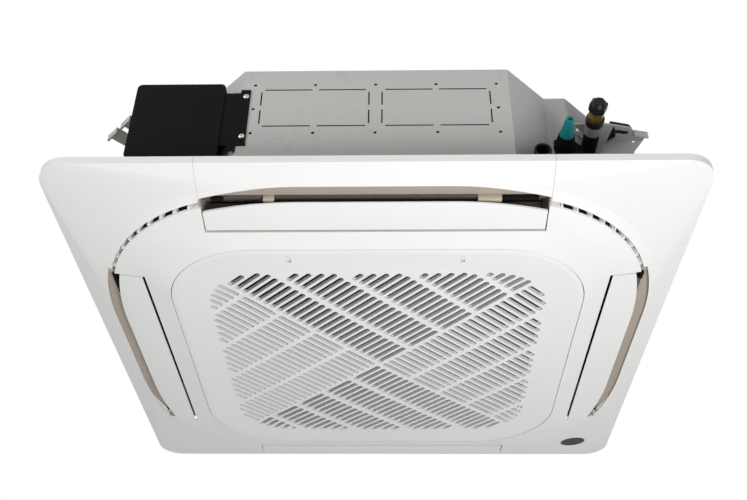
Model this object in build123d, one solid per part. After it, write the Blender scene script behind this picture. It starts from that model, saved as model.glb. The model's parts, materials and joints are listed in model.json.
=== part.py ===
"""Ceiling cassette air conditioner: a hung sheet-metal cabinet with a square four-way panel.

Frame: millimetres, +Z up. The origin is the middle of the ceiling cut-out, in the ceiling
plane that the panel's rim bears on. -Y is the near side (control box and pipes), +X is right.
Shapes of one side are modelled on the near side and turned by quarter turns about Z.
"""

import math
import os

from build123d import *

# ---- panel: outer frame -------------------------------------------------------------
PANEL_HALF = 475.0  # half of the panel's side
PANEL_CORNER = 45.0  # plan radius of the panel's corners
RIM_HEIGHT = 12.0  # upright edge of the panel below the ceiling
SKIN = 3.0  # moulded wall of the frame and the centre ring
LIP_HALF = 439.6  # outer edge of the air outlets
LIP_DEPTH = 26.5  # how far the lip hangs below the ceiling
LIP_CURVE = 457.0  # plan radius that bends the lip in towards the outlet's ends
OUTLET_STRAIGHT = 110.0  # half length of the unbent middle of an outlet's edges
FRAME_HALF = 424.0  # inner edge of the frame at its corners
FRAME_CURVE = 251.0
FRAME_DEPTH = 31.0
OUTLET_HALF = 249.0  # half length of an outlet recess
COVER_LEG = 225.0  # side of the square that a corner cover takes
COVER_GAP = 0.4
LEDGE = 2.5  # ledge of the frame above a corner cover
LEDGE_LAP = 8.0

# ---- panel: centre ring, vanes, grille ----------------------------------------------
PAD_HALF = 418.0  # outer edge of the centre ring
PAD_CURVE = 240.0
PAD_DEPTH = 37.9
PAD_WALL_TOP = -18.0
INNER_EDGE = 359.5  # ring edge along the vanes
INNER_DEPTH = 45.0
INNER_CURVE = 110.0
SEAM_HALF = 326.6  # opening for the intake grille
SEAM_CURVE = 140.0
SEAM_DEPTH = 52.5
SEAM_GAP = 1.2
RING_OPEN_HALF = 247.0  # half length of a vane opening
SEAM_WALL = 2.4
VANE_HALF = 245.0
VANE_OUTER = 417.5
VANE_INNER = 364.0
VANE_CURVE = 530.0
VANE_OUTER_DEPTH = 37.5
VANE_INNER_DEPTH = 44.5
VANE_THICK = 3.0
VANE_CAMBER = 0.9
VANE_EXCESS = 2.0  # the blade's blank reaches past its plan, which trims it
PIVOT_REACH = 378.0  # vane axis from the panel's middle
PIVOT_DEPTH = 34.0
PIVOT_BOSS = 37.7  # lowest point of a liner's pivot boss
VANE_MOTOR_RISE = 8.0  # the motor's drum lies above its shaft
PIVOT_PIN = 2.0
RUNNING = 0.05  # radial clearance of a turning pin
SEAT = 0.3  # gap between a piece and what carries it
EAR = 5.0
LINER_WALL = 2.3
THROAT_OUTER = 416.0
SHELF_DEPTH = 22.3
LINER_TOP = 10.0
LINER_FLANGE = 12.0
SEAL_THICK = 4.0
GRILLE_DEPTH = 60.0  # lowest point of the domed grille
GRILLE_BAR = 9.0
GRILLE_TOP = -41.0
FIELD_HALF = 268.0
FIELD_CURVE = 90.0
SLOT_PITCH = 14.0
SLOT_WIDTH = 9.0
SLOT_LENGTH = 66.5
SLOT_COLUMN = 74.2
SLOT_START = 4.5
SLOT_SHORTEST = 11.0
FILTER_HALF = 296.0
FILTER_DEPTH = 44.5
FILTER_THICK = 3.5
FILTER_NET = 0.8
FILTER_BAR = 6.0
FILTER_CELLS = 6
LATCH_X = 130.0
LATCH_Y = 307.0
LATCH_WIDTH = 6.0
LATCH_LENGTH = 9.0
LATCH_TRAVEL = 7.0
LATCH_PLATE = 15.0
LATCH_FLOOR = 47.5  # depth of the channel and the latch plates' seat
LATCH_KNOB = 54.2
GRILLE_WALL = 3.0
HINGE_X = 150.0
HINGE_EAR = 6.0
HINGE_REACH = 324.2
HINGE_DEPTH = 51.8
HINGE_PIN = 0.8
FIN_COUNT = 9
FIN_THICK = 2.4
FIN_LOW = 36.0
FIN_HIGH = 20.0
FIN_STEP = 6.0  # degrees between corner fins
VENT_LOW = 34.0  # depths of the vent windows between the fins
VENT_HIGH = 21.0
VENT_HALF = 9.0
VENT_SEAL = 4.4  # thickness of the foam behind the windows
MOTOR_R = 11.0
MOTOR_LONG = 16.0
POST = 315.0  # fixing posts, from the middle along X and Y
POST_R = 7.0
STUD_R = 3.0
STUD_BELOW = 8.0
STUD_ABOVE = 18.0
BADGE_X = 397.0
BADGE_Y = 391.0
BADGE_LONG = 49.0
BADGE_SHORT = 40.0
BADGE_THICK = 0.8

# ---- cabinet --------------------------------------------------------------------------
CABINET_HALF = 420.0
WALL_STEP = 356.0  # recessed walls near the corners
SIDE_HALF = 205.0  # half width of the full-depth wall
CORNER_CUT = 303.0  # where the corner chamfer starts
CABINET_BOTTOM = 14.0
CABINET_TOP = 227.0
SHEET = 1.0
LINER_THICK = 9.0
FOAM_SHEET_HALF = 200.0  # half length of the lining's side sheets
PAN_THICK = 26.0
PAN_TROUGH = 12.0
PAN_HOLE = 236.0
PAN_THROAT = 195.0  # half length of the pan's outlet holes
COIL_HALF = 332.0
COIL_DEPTH = 42.0
COIL_CURVE = 95.0
COIL_TOP = 214.0
COIL_GAP = 250.0  # the coil is left open past this corner
TUBE_R = 4.0
TUBE_ROWS = 8
TUBE_PITCH = 16.0
BELL_R = 150.0
BELL_WALL = 2.5
BELL_HEIGHT = 38.0
FAN_R = 230.0
FAN_EYE_R = 156.0
FAN_BOTTOM = 46.0
FAN_TOP = 168.0
FAN_BLADES = 7
FAN_PLATE = 3.0
SHAFT_R = 6.0
FAN_MOTOR_R = 78.0
FAN_MOTOR_LOW = 176.0
MOTOR_FOOT = 104.0
PUMP_R = 24.0
PUMP_X = 218.0
FLOAT_X = 262.0
FLOAT_Y = 176.0
FLOAT_R = 11.0
STEM_R = 3.0

# ---- control box, hangers, pipes ---------------------------------------------------------
BOX_LEFT = -368.0
BOX_RIGHT = -231.0
BOX_FRONT = -424.0
BOX_LOW = 44.0
BOX_HIGH = 195.0
BOX_WALL = 2.0
BOX_CORNER = 8.0
FLANGE_RIGHT = -192.0
FLANGE_LOW = 69.0
FLANGE_HIGH = 184.0
FLANGE_SHEET = 1.5
FLANGE_SCREWS = (86.5, 169.0)
TERMINALS = 5
HANGER_Z = 178.0
HANGER_SHEET = 3.0
HANGER_WIDTH = 65.0  # across the tongue's two fingers
HANGER_TIP = 34.0
HANGER_BACK = 56.0
HANGER_LEG = 8.5
HANGER_FOOT = 72.0
ROD_X = 395.0  # the hanging rods' places
ROD_Y = 335.0
ROD_SLOT = 12.0
ROD_EDGE = 24.0  # from a rod to the tongue's outer edge
ROD_RELIEF = 2.0
SCREW_R = 4.5
SCREW_HIGH = 2.5
HANGER_LIP = 12.0
HANGER_DROP = 21.0
KEYHOLE_TONGUE = ((356.0, -352.0), (404.0, -341.0), (410.0, -334.0), (434.0, -329.0), (434.0, -319.5))
KEYHOLE_ROOT = ((368.0, -302.5), (357.0, -302.5))  # where the tongue meets the web and the wall
KEYHOLE = ((376.5, -346.0), (382.0, -335.5), (384.0, -319.0), (370.5, -304.5))
KEYHOLE_LIP_X = 411.0
KEYHOLE_SLOT = (392.0, -330.5)  # middle of the rod's slot
KEYHOLE_SLOT_LONG = 14.0
KEYHOLE_SLOT_WIDE = 10.0
KEYHOLE_TILT = 12.0
WEB_TILT = -14.4
WEB_LONG = 68.0
WEB_BACK = 11.5
WEB_STEP_X = 45.0
WEB_STEP_Z = 149.0
WEB_HOLE = (47.0, 170.0)
PAD = ((372.0, -346.0), (403.0, -338.5), (409.0, -332.0), (409.0, -314.5), (372.0, -305.0))
PAD_THICK = 8.0
LIQUID_X = 291.0
LIQUID_Z = 119.0
LIQUID_R = 4.8
LIQUID_SLEEVE = 31.0  # length of the liquid line's sleeve outside the wall
LIQUID_TIP = 421.0  # outer end of the liquid line's cap
GAS_X = 334.0
GAS_Z = 138.0
GAS_R = 7.9
GAS_COLLAR = 391.0  # where the gas line's collar, nut and cap start, towards -Y
GAS_NUT = 403.0
GAS_CAP = 420.0
GAS_TIP = 438.0
SLEEVE_R = 12.2
COLLAR_R = 14.0
GAS_NUT_WIDE = 21.0
GAS_CAP_WIDE = 24.5
GROMMET_THICK = 6.0
GROMMET_LOW = 92.0
GROMMET_HIGH = 131.0
DRAIN_X = 246.0
DRAIN_Z = 62.0
DRAIN_R = 13.0
DRAIN_WALL = 3.0
DRAIN_SPOUT = 22.0
KNOCK_NEAR = 10.0
KNOCK_FAR = 175.0
KNOCK_LOW = 109.0
KNOCK_HIGH = 185.0
KNOCK_LINE = 1.6
HOLE_R = 2.6

FRAME_SLOPE = (LIP_DEPTH - RIM_HEIGHT) / (PANEL_HALF - LIP_HALF)
PAD_SLOPE = (INNER_DEPTH - PAD_DEPTH) / (PAD_HALF - INNER_EDGE)
SEAM_SLOPE = (SEAM_DEPTH - INNER_DEPTH) / (INNER_EDGE - SEAM_HALF)
GRILLE_HALF = SEAM_HALF - SEAM_GAP
DOME_R = GRILLE_HALF**2 / (2 * (GRILLE_DEPTH - SEAM_DEPTH))
FAR = 2 * PANEL_HALF  # longer than anything that it cuts
ROOT2 = math.sqrt(2.0)
PARTS = {}


# ---- small helpers ---------------------------------------------------------------------
def rounded(half, radius):
    """A square plan with round corners."""
    return RectangleRounded(2 * half, 2 * half, radius)


def prism(plan, low, high):
    """A plan shape drawn up from one height to another."""
    return extrude(Pos(0, 0, low) * plan, high - low)


def block(x0, x1, y0, y1, z0, z1):
    """A box between two corners."""
    middle = Pos((x0 + x1) / 2, (y0 + y1) / 2, (z0 + z1) / 2)
    return middle * Box(abs(x1 - x0), abs(y1 - y0), abs(z1 - z0))


def levels_loft(levels):
    """A solid through rounded squares, each (half side, corner radius, height)."""
    faces = [(Pos(0, 0, z) * rounded(half, radius)).face() for half, radius, z in levels]
    return loft(faces, ruled=True)


def turned(shape, side):
    """The near side's shape on side 0 near, 1 right, 2 far or 3 left."""
    return Rot(0, 0, 90 * side) * shape


def rod_x(x0, x1, y, z, radius):
    """A round bar along X."""
    return Pos((x0 + x1) / 2, y, z) * Rot(0, 90, 0) * Cylinder(radius, abs(x1 - x0))


def rod_y(y0, y1, x, z, radius):
    """A round bar along Y."""
    return Pos(x, (y0 + y1) / 2, z) * Rot(90, 0, 0) * Cylinder(radius, abs(y1 - y0))


def rod_z(z0, z1, x, y, radius):
    """An upright round bar."""
    return Pos(x, y, (z0 + z1) / 2) * Cylinder(radius, abs(z1 - z0))


def outlet_plan(half_length, inner, outer, curve):
    """A near-side outlet plan: a strip whose outer edge bends in beyond its straight middle."""
    run = half_length - OUTLET_STRAIGHT
    drop = curve - math.sqrt(curve**2 - run**2)
    half_drop = curve - math.sqrt(curve**2 - run**2 / 4)
    middle = OUTLET_STRAIGHT + run / 2
    outline = Line((-OUTLET_STRAIGHT, -outer), (OUTLET_STRAIGHT, -outer))
    for sign in (-1, 1):
        start = (sign * OUTLET_STRAIGHT, -outer)
        end = (sign * half_length, -outer + drop)
        outline += ThreePointArc(start, (sign * middle, -outer + half_drop), end)
        outline += Line(end, (sign * half_length, -inner))
    outline += Line((-half_length, -inner), (half_length, -inner))
    return make_face(outline)


def add(name, shape):
    """Keeps a finished node."""
    PARTS[name] = shape


# ---- panel frame and corner covers -----------------------------------------------------
def frame_opening():
    """Everything inside the frame: the ring's place and the four outlet recesses."""
    plan = rounded(FRAME_HALF, FRAME_CURVE)
    bulge = outlet_plan(OUTLET_HALF, SEAM_HALF, LIP_HALF, LIP_CURVE)
    for side in range(4):
        plan += turned(bulge, side)
    return prism(plan, -FRAME_DEPTH - 10, 10)


def dish(wall):
    """The dished body's outer form, or with a wall its inner form."""
    inset = PANEL_HALF - wall
    top = -RIM_HEIGHT + wall * (1 - FRAME_SLOPE) if wall else -RIM_HEIGHT
    inward = 6.0
    drop = inward * (FRAME_DEPTH - LIP_DEPTH) / (LIP_HALF - FRAME_HALF)
    levels = [
        (inset, PANEL_CORNER - wall, top),
        (LIP_HALF, FRAME_CURVE + LIP_HALF - FRAME_HALF, -LIP_DEPTH + wall),
        (FRAME_HALF, FRAME_CURVE, -FRAME_DEPTH + wall),
        (FRAME_HALF - inward, FRAME_CURVE - inward, -FRAME_DEPTH - drop + wall),
    ]
    ceiling = 1.0 if wall else 0.0
    return levels_loft(levels) + prism(rounded(inset, PANEL_CORNER - wall), top, ceiling)


def corner_region(side, grow):
    """The plan square that a corner cover takes, near right on side 0."""
    edge = PANEL_HALF - COVER_LEG - grow
    region = block(edge, FAR, -FAR, -edge, -FAR / 4, FAR / 4)
    return turned(region, side)


def panel_frame_and_covers():
    """The dished frame, with a ledge at each corner that a cover clips under."""
    opening = frame_opening()
    outer = dish(0) - opening
    skin = outer - dish(SKIN)
    cover_space = outer - dish(SKIN + SEAT)
    thick = outer - dish(SKIN + SEAT + LEDGE)
    frame = skin
    names = ["near_right", "far_right", "far_left", "near_left"]
    for side in range(4):
        place = corner_region(side, COVER_GAP / 2)
        lapped = corner_region(side, LEDGE_LAP)
        frame = frame - place
        frame = frame + ((thick & lapped) - (cover_space & place))
        cover = skin & corner_region(side, -COVER_GAP / 2)
        add("corner_cover_" + names[side], cover)
    add("panel_frame", frame)


def badge():
    """A plain oval plate on the far right corner cover, following its slope."""
    outline = Pos(BADGE_X, BADGE_Y) * Rot(0, 0, -8) * Ellipse(BADGE_LONG / 2, BADGE_SHORT / 2)
    column = prism(outline, -FRAME_DEPTH - 10, 0)
    lowered = Pos(0, 0, -BADGE_THICK - 0.05) * dish(0)
    add("badge_plate", (column & lowered) - Pos(0, 0, -0.05) * dish(0))


# ---- centre ring -----------------------------------------------------------------------
def ring_form(wall):
    """The centre ring's outer form, or with a wall its inner form."""
    inset = PAD_HALF - wall
    top = -PAD_DEPTH + wall * (1 - PAD_SLOPE) if wall else -PAD_DEPTH
    inward = 8.0
    levels = [
        (inset, PAD_CURVE - wall, top),
        (INNER_EDGE, INNER_CURVE, -INNER_DEPTH + wall),
        (SEAM_HALF - inward, SEAM_CURVE - inward, -SEAM_DEPTH - inward * SEAM_SLOPE + wall),
    ]
    high = PAD_WALL_TOP + (1.0 if wall else 0.0)
    return levels_loft(levels) + prism(rounded(inset, PAD_CURVE - wall), top, high)


def round_corners(shape, count):
    """Copies of a shape that points along +X, spread evenly round the ring's four corners."""
    centre = PAD_HALF - PAD_CURVE
    copies = []
    for corner in range(4):
        for index in range(count):
            angle = -45 + (index - (count - 1) / 2) * FIN_STEP
            copies.append(turned(Pos(centre, -centre, 0) * Rot(0, 0, angle) * shape, corner))
    return copies


def corner_fins():
    """Short blades across the narrow vent between the ring and the frame's corners."""
    reach = (FRAME_HALF - FRAME_CURVE - PAD_HALF + PAD_CURVE) * ROOT2 + FRAME_CURVE
    half = FIN_THICK / 2
    blade = block(PAD_CURVE - SKIN / 2, reach - SEAT, -half, half, -FIN_LOW, -FIN_HIGH)
    return round_corners(blade, FIN_COUNT)


def corner_windows():
    """The openings in the ring's wall between two fins."""
    wall = PAD_CURVE - SKIN
    window = block(wall - 1, PAD_CURVE + 1, -VENT_HALF, VENT_HALF, -VENT_LOW, -VENT_HIGH)
    return round_corners(window, FIN_COUNT - 1)


def vent_seals():
    """Curved strips of foam behind the corner windows."""
    outer = PAD_CURVE - SKIN - SEAT
    half_angle = math.radians(FIN_STEP * FIN_COUNT / 2)
    ring = Cylinder(outer, VENT_LOW - VENT_HIGH + 2) - Cylinder(outer - VENT_SEAL, FAR)
    wedge = [(0, 0)]
    for sign in (-1, 1):
        wedge.append((FAR * math.cos(half_angle), sign * FAR * math.sin(half_angle)))
    ring &= prism(make_face(Polyline(*wedge, close=True)), -FAR, FAR)
    strip = Pos(0, 0, -(VENT_LOW + VENT_HIGH) / 2) * ring
    add("vent_seals", Compound(children=round_corners(strip, 1)))


def centre_ring():
    """The raised middle moulding that frames the grille and carries the vanes' edges."""
    ring = ring_form(0) - ring_form(SKIN)
    ring -= prism(rounded(SEAM_HALF, SEAM_CURVE), -FAR / 4, FAR / 4)
    upstand = rounded(SEAM_HALF + SEAM_WALL, SEAM_CURVE + SEAM_WALL)
    upstand -= rounded(SEAM_HALF, SEAM_CURVE)
    ring += prism(upstand, -SEAM_DEPTH + SKIN / 2, GRILLE_TOP - SEAT)
    ring -= corner_windows()
    ring += corner_fins()
    open_skin = block(-RING_OPEN_HALF, RING_OPEN_HALF, -FAR, -INNER_EDGE, -FAR / 4, FAR / 4)
    open_wall = block(-OUTLET_HALF, OUTLET_HALF, -FAR, -THROAT_OUTER + 20, -FIN_LOW, FAR / 4)
    ring -= [turned(open_skin, side) for side in range(4)]
    ring -= [turned(open_wall, side) for side in range(4)]
    post = rod_z(-INNER_DEPTH - 1, CABINET_BOTTOM - SEAT, POST, POST, POST_R)
    bore = rod_z(-STUD_BELOW - 2, CABINET_BOTTOM, POST, POST, STUD_R + RUNNING)
    ring += [turned(post, side) for side in range(4)]
    ring -= [turned(bore, side) for side in range(4)]
    for sign in (-1, 1):
        x0 = sign * HINGE_X
        x1 = sign * (HINGE_X + HINGE_EAR)
        eye = HINGE_PIN + 0.6
        tip = rod_x(x0, x1, HINGE_REACH, -HINGE_DEPTH, eye)
        arm = block(x0, x1, HINGE_REACH, SEAM_HALF + 1, -HINGE_DEPTH - eye, -HINGE_DEPTH + eye)
        hole = rod_x(x0 - 9, x1 + 9, HINGE_REACH, -HINGE_DEPTH, HINGE_PIN + 0.02)
        ring = ring + tip + arm - hole
    add("center_ring", ring)


def panel_studs():
    """Four studs that hang the panel from the cabinet's floor."""
    group = []
    for side in range(4):
        stud = rod_z(-STUD_BELOW, CABINET_BOTTOM + STUD_ABOVE, POST, POST, STUD_R)
        group.append(turned(stud, side))
    add("panel_studs", Compound(children=group))


# ---- outlet liners, vanes --------------------------------------------------------------
def liner():
    """One outlet's duct piece, near side: a throat with a shelf under the frame's lip."""
    inner_wall = INNER_EDGE - LINER_WALL
    ends = OUTLET_HALF - SEAT
    throat_out = THROAT_OUTER + LINER_WALL
    base = block(-ends, ends, -throat_out, -inner_wall, -SHELF_DEPTH, LINER_TOP)
    shelf_plan = outlet_plan(ends, THROAT_OUTER, LIP_HALF + 2, LIP_CURVE + 2)
    shelf = prism(shelf_plan, -SHELF_DEPTH, -SHELF_DEPTH + LINER_WALL)
    flange = block(
        -ends - LINER_FLANGE,
        ends + LINER_FLANGE,
        -CABINET_HALF + SHEET,
        -inner_wall + LINER_FLANGE,
        LINER_TOP - LINER_WALL,
        LINER_TOP,
    )
    body = base + shelf + flange
    cavity_ends = ends - LINER_WALL
    for sign in (-1, 1):
        x0 = sign * cavity_ends
        x1 = sign * ends
        cheek = block(x0, x1, -THROAT_OUTER, -inner_wall, -33.9, -SHELF_DEPTH)
        boss = block(x0, x1, -PIVOT_REACH - 6, -PIVOT_REACH + 6, -PIVOT_BOSS, -33)
        body = body + cheek + boss
    inner = block(-ends, ends, -INNER_EDGE, -inner_wall, -41.5, -SHELF_DEPTH)
    body += inner
    body -= block(-cavity_ends, cavity_ends, -THROAT_OUTER, -INNER_EDGE, -FAR / 4, FAR / 4)
    body -= rod_x(-FAR / 2, FAR / 2, -PIVOT_REACH, -PIVOT_DEPTH, PIVOT_PIN + RUNNING)
    return body


def outlet_seal():
    """Foam between a liner's flange and the cabinet's floor, near side."""
    ends = OUTLET_HALF - SEAT
    edge = INNER_EDGE - LINER_WALL
    outer = block(
        -ends - LINER_FLANGE,
        ends + LINER_FLANGE,
        -CABINET_HALF + SHEET,
        -edge + LINER_FLANGE,
        LINER_TOP,
        LINER_TOP + SEAL_THICK,
    )
    hole = block(-ends, ends, -THROAT_OUTER, -INNER_EDGE, 0, FAR)
    return outer - hole


def vane():
    """One air vane, near side, with an ear and a pin at each end."""
    dip = (VANE_OUTER_DEPTH + VANE_INNER_DEPTH) / 2 + VANE_CAMBER
    middle = (VANE_OUTER + VANE_INNER) / 2
    reach = VANE_OUTER + VANE_EXCESS
    low_out = (-reach, -VANE_OUTER_DEPTH)
    low_in = (-VANE_INNER, -VANE_INNER_DEPTH)
    top_out = (-reach, -VANE_OUTER_DEPTH + VANE_THICK * 0.6)
    top_in = (-VANE_INNER, -VANE_INNER_DEPTH + VANE_THICK * 0.6)
    bottom = ThreePointArc(low_out, (-middle, -dip), low_in)
    top = ThreePointArc(top_in, (-middle, -dip + VANE_THICK + VANE_CAMBER), top_out)
    outline = bottom + Line(low_in, top_in) + top + Line(top_out, low_out)
    section = Plane.YZ * make_face(outline)
    blade = extrude(section, VANE_HALF + VANE_EXCESS, both=True)
    plan = outlet_plan(VANE_HALF, VANE_INNER - 1, VANE_OUTER, VANE_CURVE)
    body = blade & prism(plan, -FAR / 4, FAR / 4)
    for sign in (-1, 1):
        x0 = sign * (VANE_HALF - 7)
        x1 = sign * (VANE_HALF - 7 + EAR)
        ear = block(x0, x1, -PIVOT_REACH - 4.5, -PIVOT_REACH + 4.5, -42, -PIVOT_DEPTH)
        knuckle = rod_x(x0, x1, -PIVOT_REACH, -PIVOT_DEPTH, 4.5)
        out = OUTLET_HALF + 2.4 if sign > 0 else OUTLET_HALF - SEAT
        pin = rod_x(x1 - sign, sign * out, -PIVOT_REACH, -PIVOT_DEPTH, PIVOT_PIN)
        body = body + ear + knuckle + pin
    return body


def vane_motor():
    """The stepping motor at the right end of the near vane."""
    x0 = OUTLET_HALF
    drum = rod_x(x0, x0 + MOTOR_LONG, -PIVOT_REACH, -PIVOT_DEPTH + VANE_MOTOR_RISE, MOTOR_R)
    socket = rod_x(x0 - 1, x0 + 3, -PIVOT_REACH, -PIVOT_DEPTH, PIVOT_PIN + RUNNING)
    nose = rod_x(x0, x0 + 5, -PIVOT_REACH, -PIVOT_DEPTH, PIVOT_PIN + 0.9)
    plug = block(x0 + 4, x0 + 12, -PIVOT_REACH - 5, -PIVOT_REACH + 5, -17, -11)
    return drum + nose + plug - socket


def outlets():
    """The four liners, seals, vanes and motors."""
    names = ["near", "right", "far", "left"]
    seals = []
    motors = []
    for side, name in enumerate(names):
        add("outlet_liner_" + name, turned(liner(), side))
        add("vane_" + name, turned(vane(), side))
        seals.append(turned(outlet_seal(), side))
        motors.append(turned(vane_motor(), side))
    add("outlet_seals", Compound(children=seals))
    add("vane_motors", Compound(children=motors))


# ---- intake grille ---------------------------------------------------------------------
def ball(radius):
    """A large ball about the centre of the grille's domed face, its poles to the sides."""
    return Pos(0, 0, DOME_R - GRILLE_DEPTH) * Rot(90, 0, 0) * Sphere(radius)


def in_field(x, y, inset):
    """Whether a point lies in the slotted field, this far from its edge."""
    half = FIELD_HALF - inset
    corner = FIELD_CURVE - inset
    past_x = abs(x) - (half - corner)
    past_y = abs(y) - (half - corner)
    if past_x > 0 and past_y > 0:
        return math.hypot(past_x, past_y) <= corner
    return max(abs(x), abs(y)) <= half


def on_diagonal(along, across, inset):
    """Whether a point given along and across the field's diagonals lies in the field."""
    return in_field((along - across) / ROOT2, -(along + across) / ROOT2, inset)


def slot_runs():
    """Near-sector slots as (row, start, end), along and across the field's diagonals."""
    rows = int(FIELD_HALF * ROOT2 / SLOT_PITCH) + 1
    columns = int(FIELD_HALF * ROOT2 / SLOT_COLUMN) + 1
    inset = SLOT_WIDTH / 2
    step = 0.5
    runs = []
    for row in range(rows):
        across = SLOT_PITCH * (row + 0.5)
        for column in range(columns):
            start = SLOT_START + column * SLOT_COLUMN + inset
            end = start + SLOT_LENGTH - 2 * inset
            while end > start and not on_diagonal(end, across, inset):
                end -= step
            while end > start and not on_diagonal(start, across, inset):
                start += step
            if end - start >= SLOT_SHORTEST - SLOT_WIDTH:
                runs.append((across, start, end))
    return runs


def near_slots():
    """The near sector's slot plans, with the grille turned so that they run along X."""
    plans = []
    for across, start, end in slot_runs():
        pill = SlotCenterToCenter(end - start, SLOT_WIDTH)
        plans.append(Pos((start + end) / 2, -across) * pill)
    return plans


def grille_form():
    """The grille's outer form: a rounded square whose face bulges down."""
    face = rounded(GRILLE_HALF, SEAM_CURVE - SEAM_GAP)
    body = prism(face, -SEAM_DEPTH, GRILLE_TOP)
    edge = levels_loft(
        [
            (GRILLE_HALF, SEAM_CURVE - SEAM_GAP, -SEAM_DEPTH),
            (GRILLE_HALF - 8, SEAM_CURVE - SEAM_GAP - 8, -SEAM_DEPTH - 1),
        ]
    )
    dome = prism(face, -GRILLE_DEPTH - 1, -SEAM_DEPTH) & ball(DOME_R)
    return body + edge + dome


def intake_grille():
    """The hinged grille: four fields of slots with cross ribs, hollow behind."""
    body = grille_form()
    inner = FILTER_HALF - 8
    behind = prism(rounded(inner, SEAM_CURVE - 38), -FAR / 4, GRILLE_TOP + 1)
    body -= behind & ball(DOME_R - GRILLE_BAR)
    pocket = rounded(FILTER_HALF + SEAT, SEAM_CURVE - 30)
    body -= prism(pocket, -FILTER_DEPTH, GRILLE_TOP + 1)
    wall = GRILLE_WALL
    channel = rounded(GRILLE_HALF - wall, SEAM_CURVE - SEAM_GAP - wall)
    channel -= rounded(FILTER_HALF + SEAT + wall, SEAM_CURVE - 30 + wall)
    body -= prism(channel, -LATCH_FLOOR, GRILLE_TOP + 1)
    plans = near_slots()
    cutters = []
    for side in range(4):
        for plan in plans:
            cutters.append(prism(turned(plan, side), -GRILLE_DEPTH - 2, -FILTER_DEPTH + 0.5))
    body = Rot(0, 0, -45) * (Rot(0, 0, 45) * body - cutters)
    for sign in (-1, 1):
        gap = 0.5
        x0 = sign * (HINGE_X - gap)
        x1 = sign * (HINGE_X + HINGE_EAR + gap)
        body -= block(x0, x1, HINGE_REACH - 2.6, GRILLE_HALF + 1, -FAR / 4, FAR / 4)
        body -= rod_x(x0 - sign * 6, x1 + sign * 6, HINGE_REACH, -HINGE_DEPTH, HINGE_PIN + RUNNING)
        x = sign * LATCH_X
        wide = LATCH_WIDTH / 2 + SEAT
        slot_low = -LATCH_Y - LATCH_LENGTH / 2 - SEAT
        slot_high = -LATCH_Y + LATCH_LENGTH / 2 + LATCH_TRAVEL + SEAT
        body -= block(x - wide, x + wide, slot_low, slot_high, -FAR / 4, FAR / 4)
        wide = LATCH_PLATE / 2 + 0.5
        body -= block(x - wide, x + wide, slot_low - 3.5, slot_high + 3.5, -LATCH_FLOOR, FAR / 4)
    return body


def latch(sign):
    """A sliding catch of the grille: a knob in its slot with a wider plate behind."""
    x = sign * LATCH_X
    half = LATCH_WIDTH / 2
    y0 = -LATCH_Y - LATCH_LENGTH / 2
    y1 = -LATCH_Y + LATCH_LENGTH / 2
    low = -LATCH_FLOOR + SEAT
    knob = block(x - half, x + half, y0, y1, -LATCH_KNOB, low)
    plate = block(x - LATCH_PLATE / 2, x + LATCH_PLATE / 2, y0 - 3, y1 + 3, low, low + 2)
    return knob + plate


def air_filter():
    """The washable filter in the grille's back: a thin net in a frame with cross bars."""
    outer = rounded(FILTER_HALF, SEAM_CURVE - 30 - SEAT)
    net = prism(outer, -FILTER_DEPTH, -FILTER_DEPTH + FILTER_NET)
    rim_plan = outer - rounded(FILTER_HALF - 9, SEAM_CURVE - 39)
    rim = prism(rim_plan, -FILTER_DEPTH, -FILTER_DEPTH + FILTER_THICK)
    body = net + rim
    pitch = 2 * FILTER_HALF / FILTER_CELLS
    for index in range(1, FILTER_CELLS):
        at = -FILTER_HALF + index * pitch
        half = FILTER_BAR / 2
        high = -FILTER_DEPTH + FILTER_THICK - 0.5
        reach = FILTER_HALF - 30
        body += block(at - half, at + half, -reach, reach, -FILTER_DEPTH, high)
        body += block(-reach, reach, at - half, at + half, -FILTER_DEPTH, high)
    return body


def grille_parts():
    """The grille with its filter, latches and hinge pins."""
    add("intake_grille", intake_grille())
    add("air_filter", air_filter())
    add("latch_left", latch(-1))
    add("latch_right", latch(1))
    pins = []
    for sign in (-1, 1):
        x0 = sign * (HINGE_X - 5)
        x1 = sign * (HINGE_X + HINGE_EAR + 5)
        pins.append(rod_x(x0, x1, HINGE_REACH, -HINGE_DEPTH, HINGE_PIN))
    add("hinge_pins", Compound(children=pins))


# ---- cabinet ---------------------------------------------------------------------------
def cabinet_plan(inset):
    """The cabinet's plan, with stepped and cut corners, drawn in by a wall."""
    corner = (CORNER_CUT + WALL_STEP) - inset * ROOT2
    half = CABINET_HALF - inset
    step = WALL_STEP - inset
    bevel = SIDE_HALF + CABINET_HALF - inset * ROOT2
    quarter = [
        (bevel - half, -half),
        (bevel - step, -step),
        (corner - step, -step),
        (step, -(corner - step)),
        (step, -(bevel - step)),
        (half, -(bevel - half)),
    ]
    points = []
    for side in range(4):
        angle = math.radians(90 * side)
        cos, sin = round(math.cos(angle)), round(math.sin(angle))
        points += [(x * cos - y * sin, x * sin + y * cos) for x, y in quarter]
    return make_face(Polyline(*points, close=True))


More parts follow.
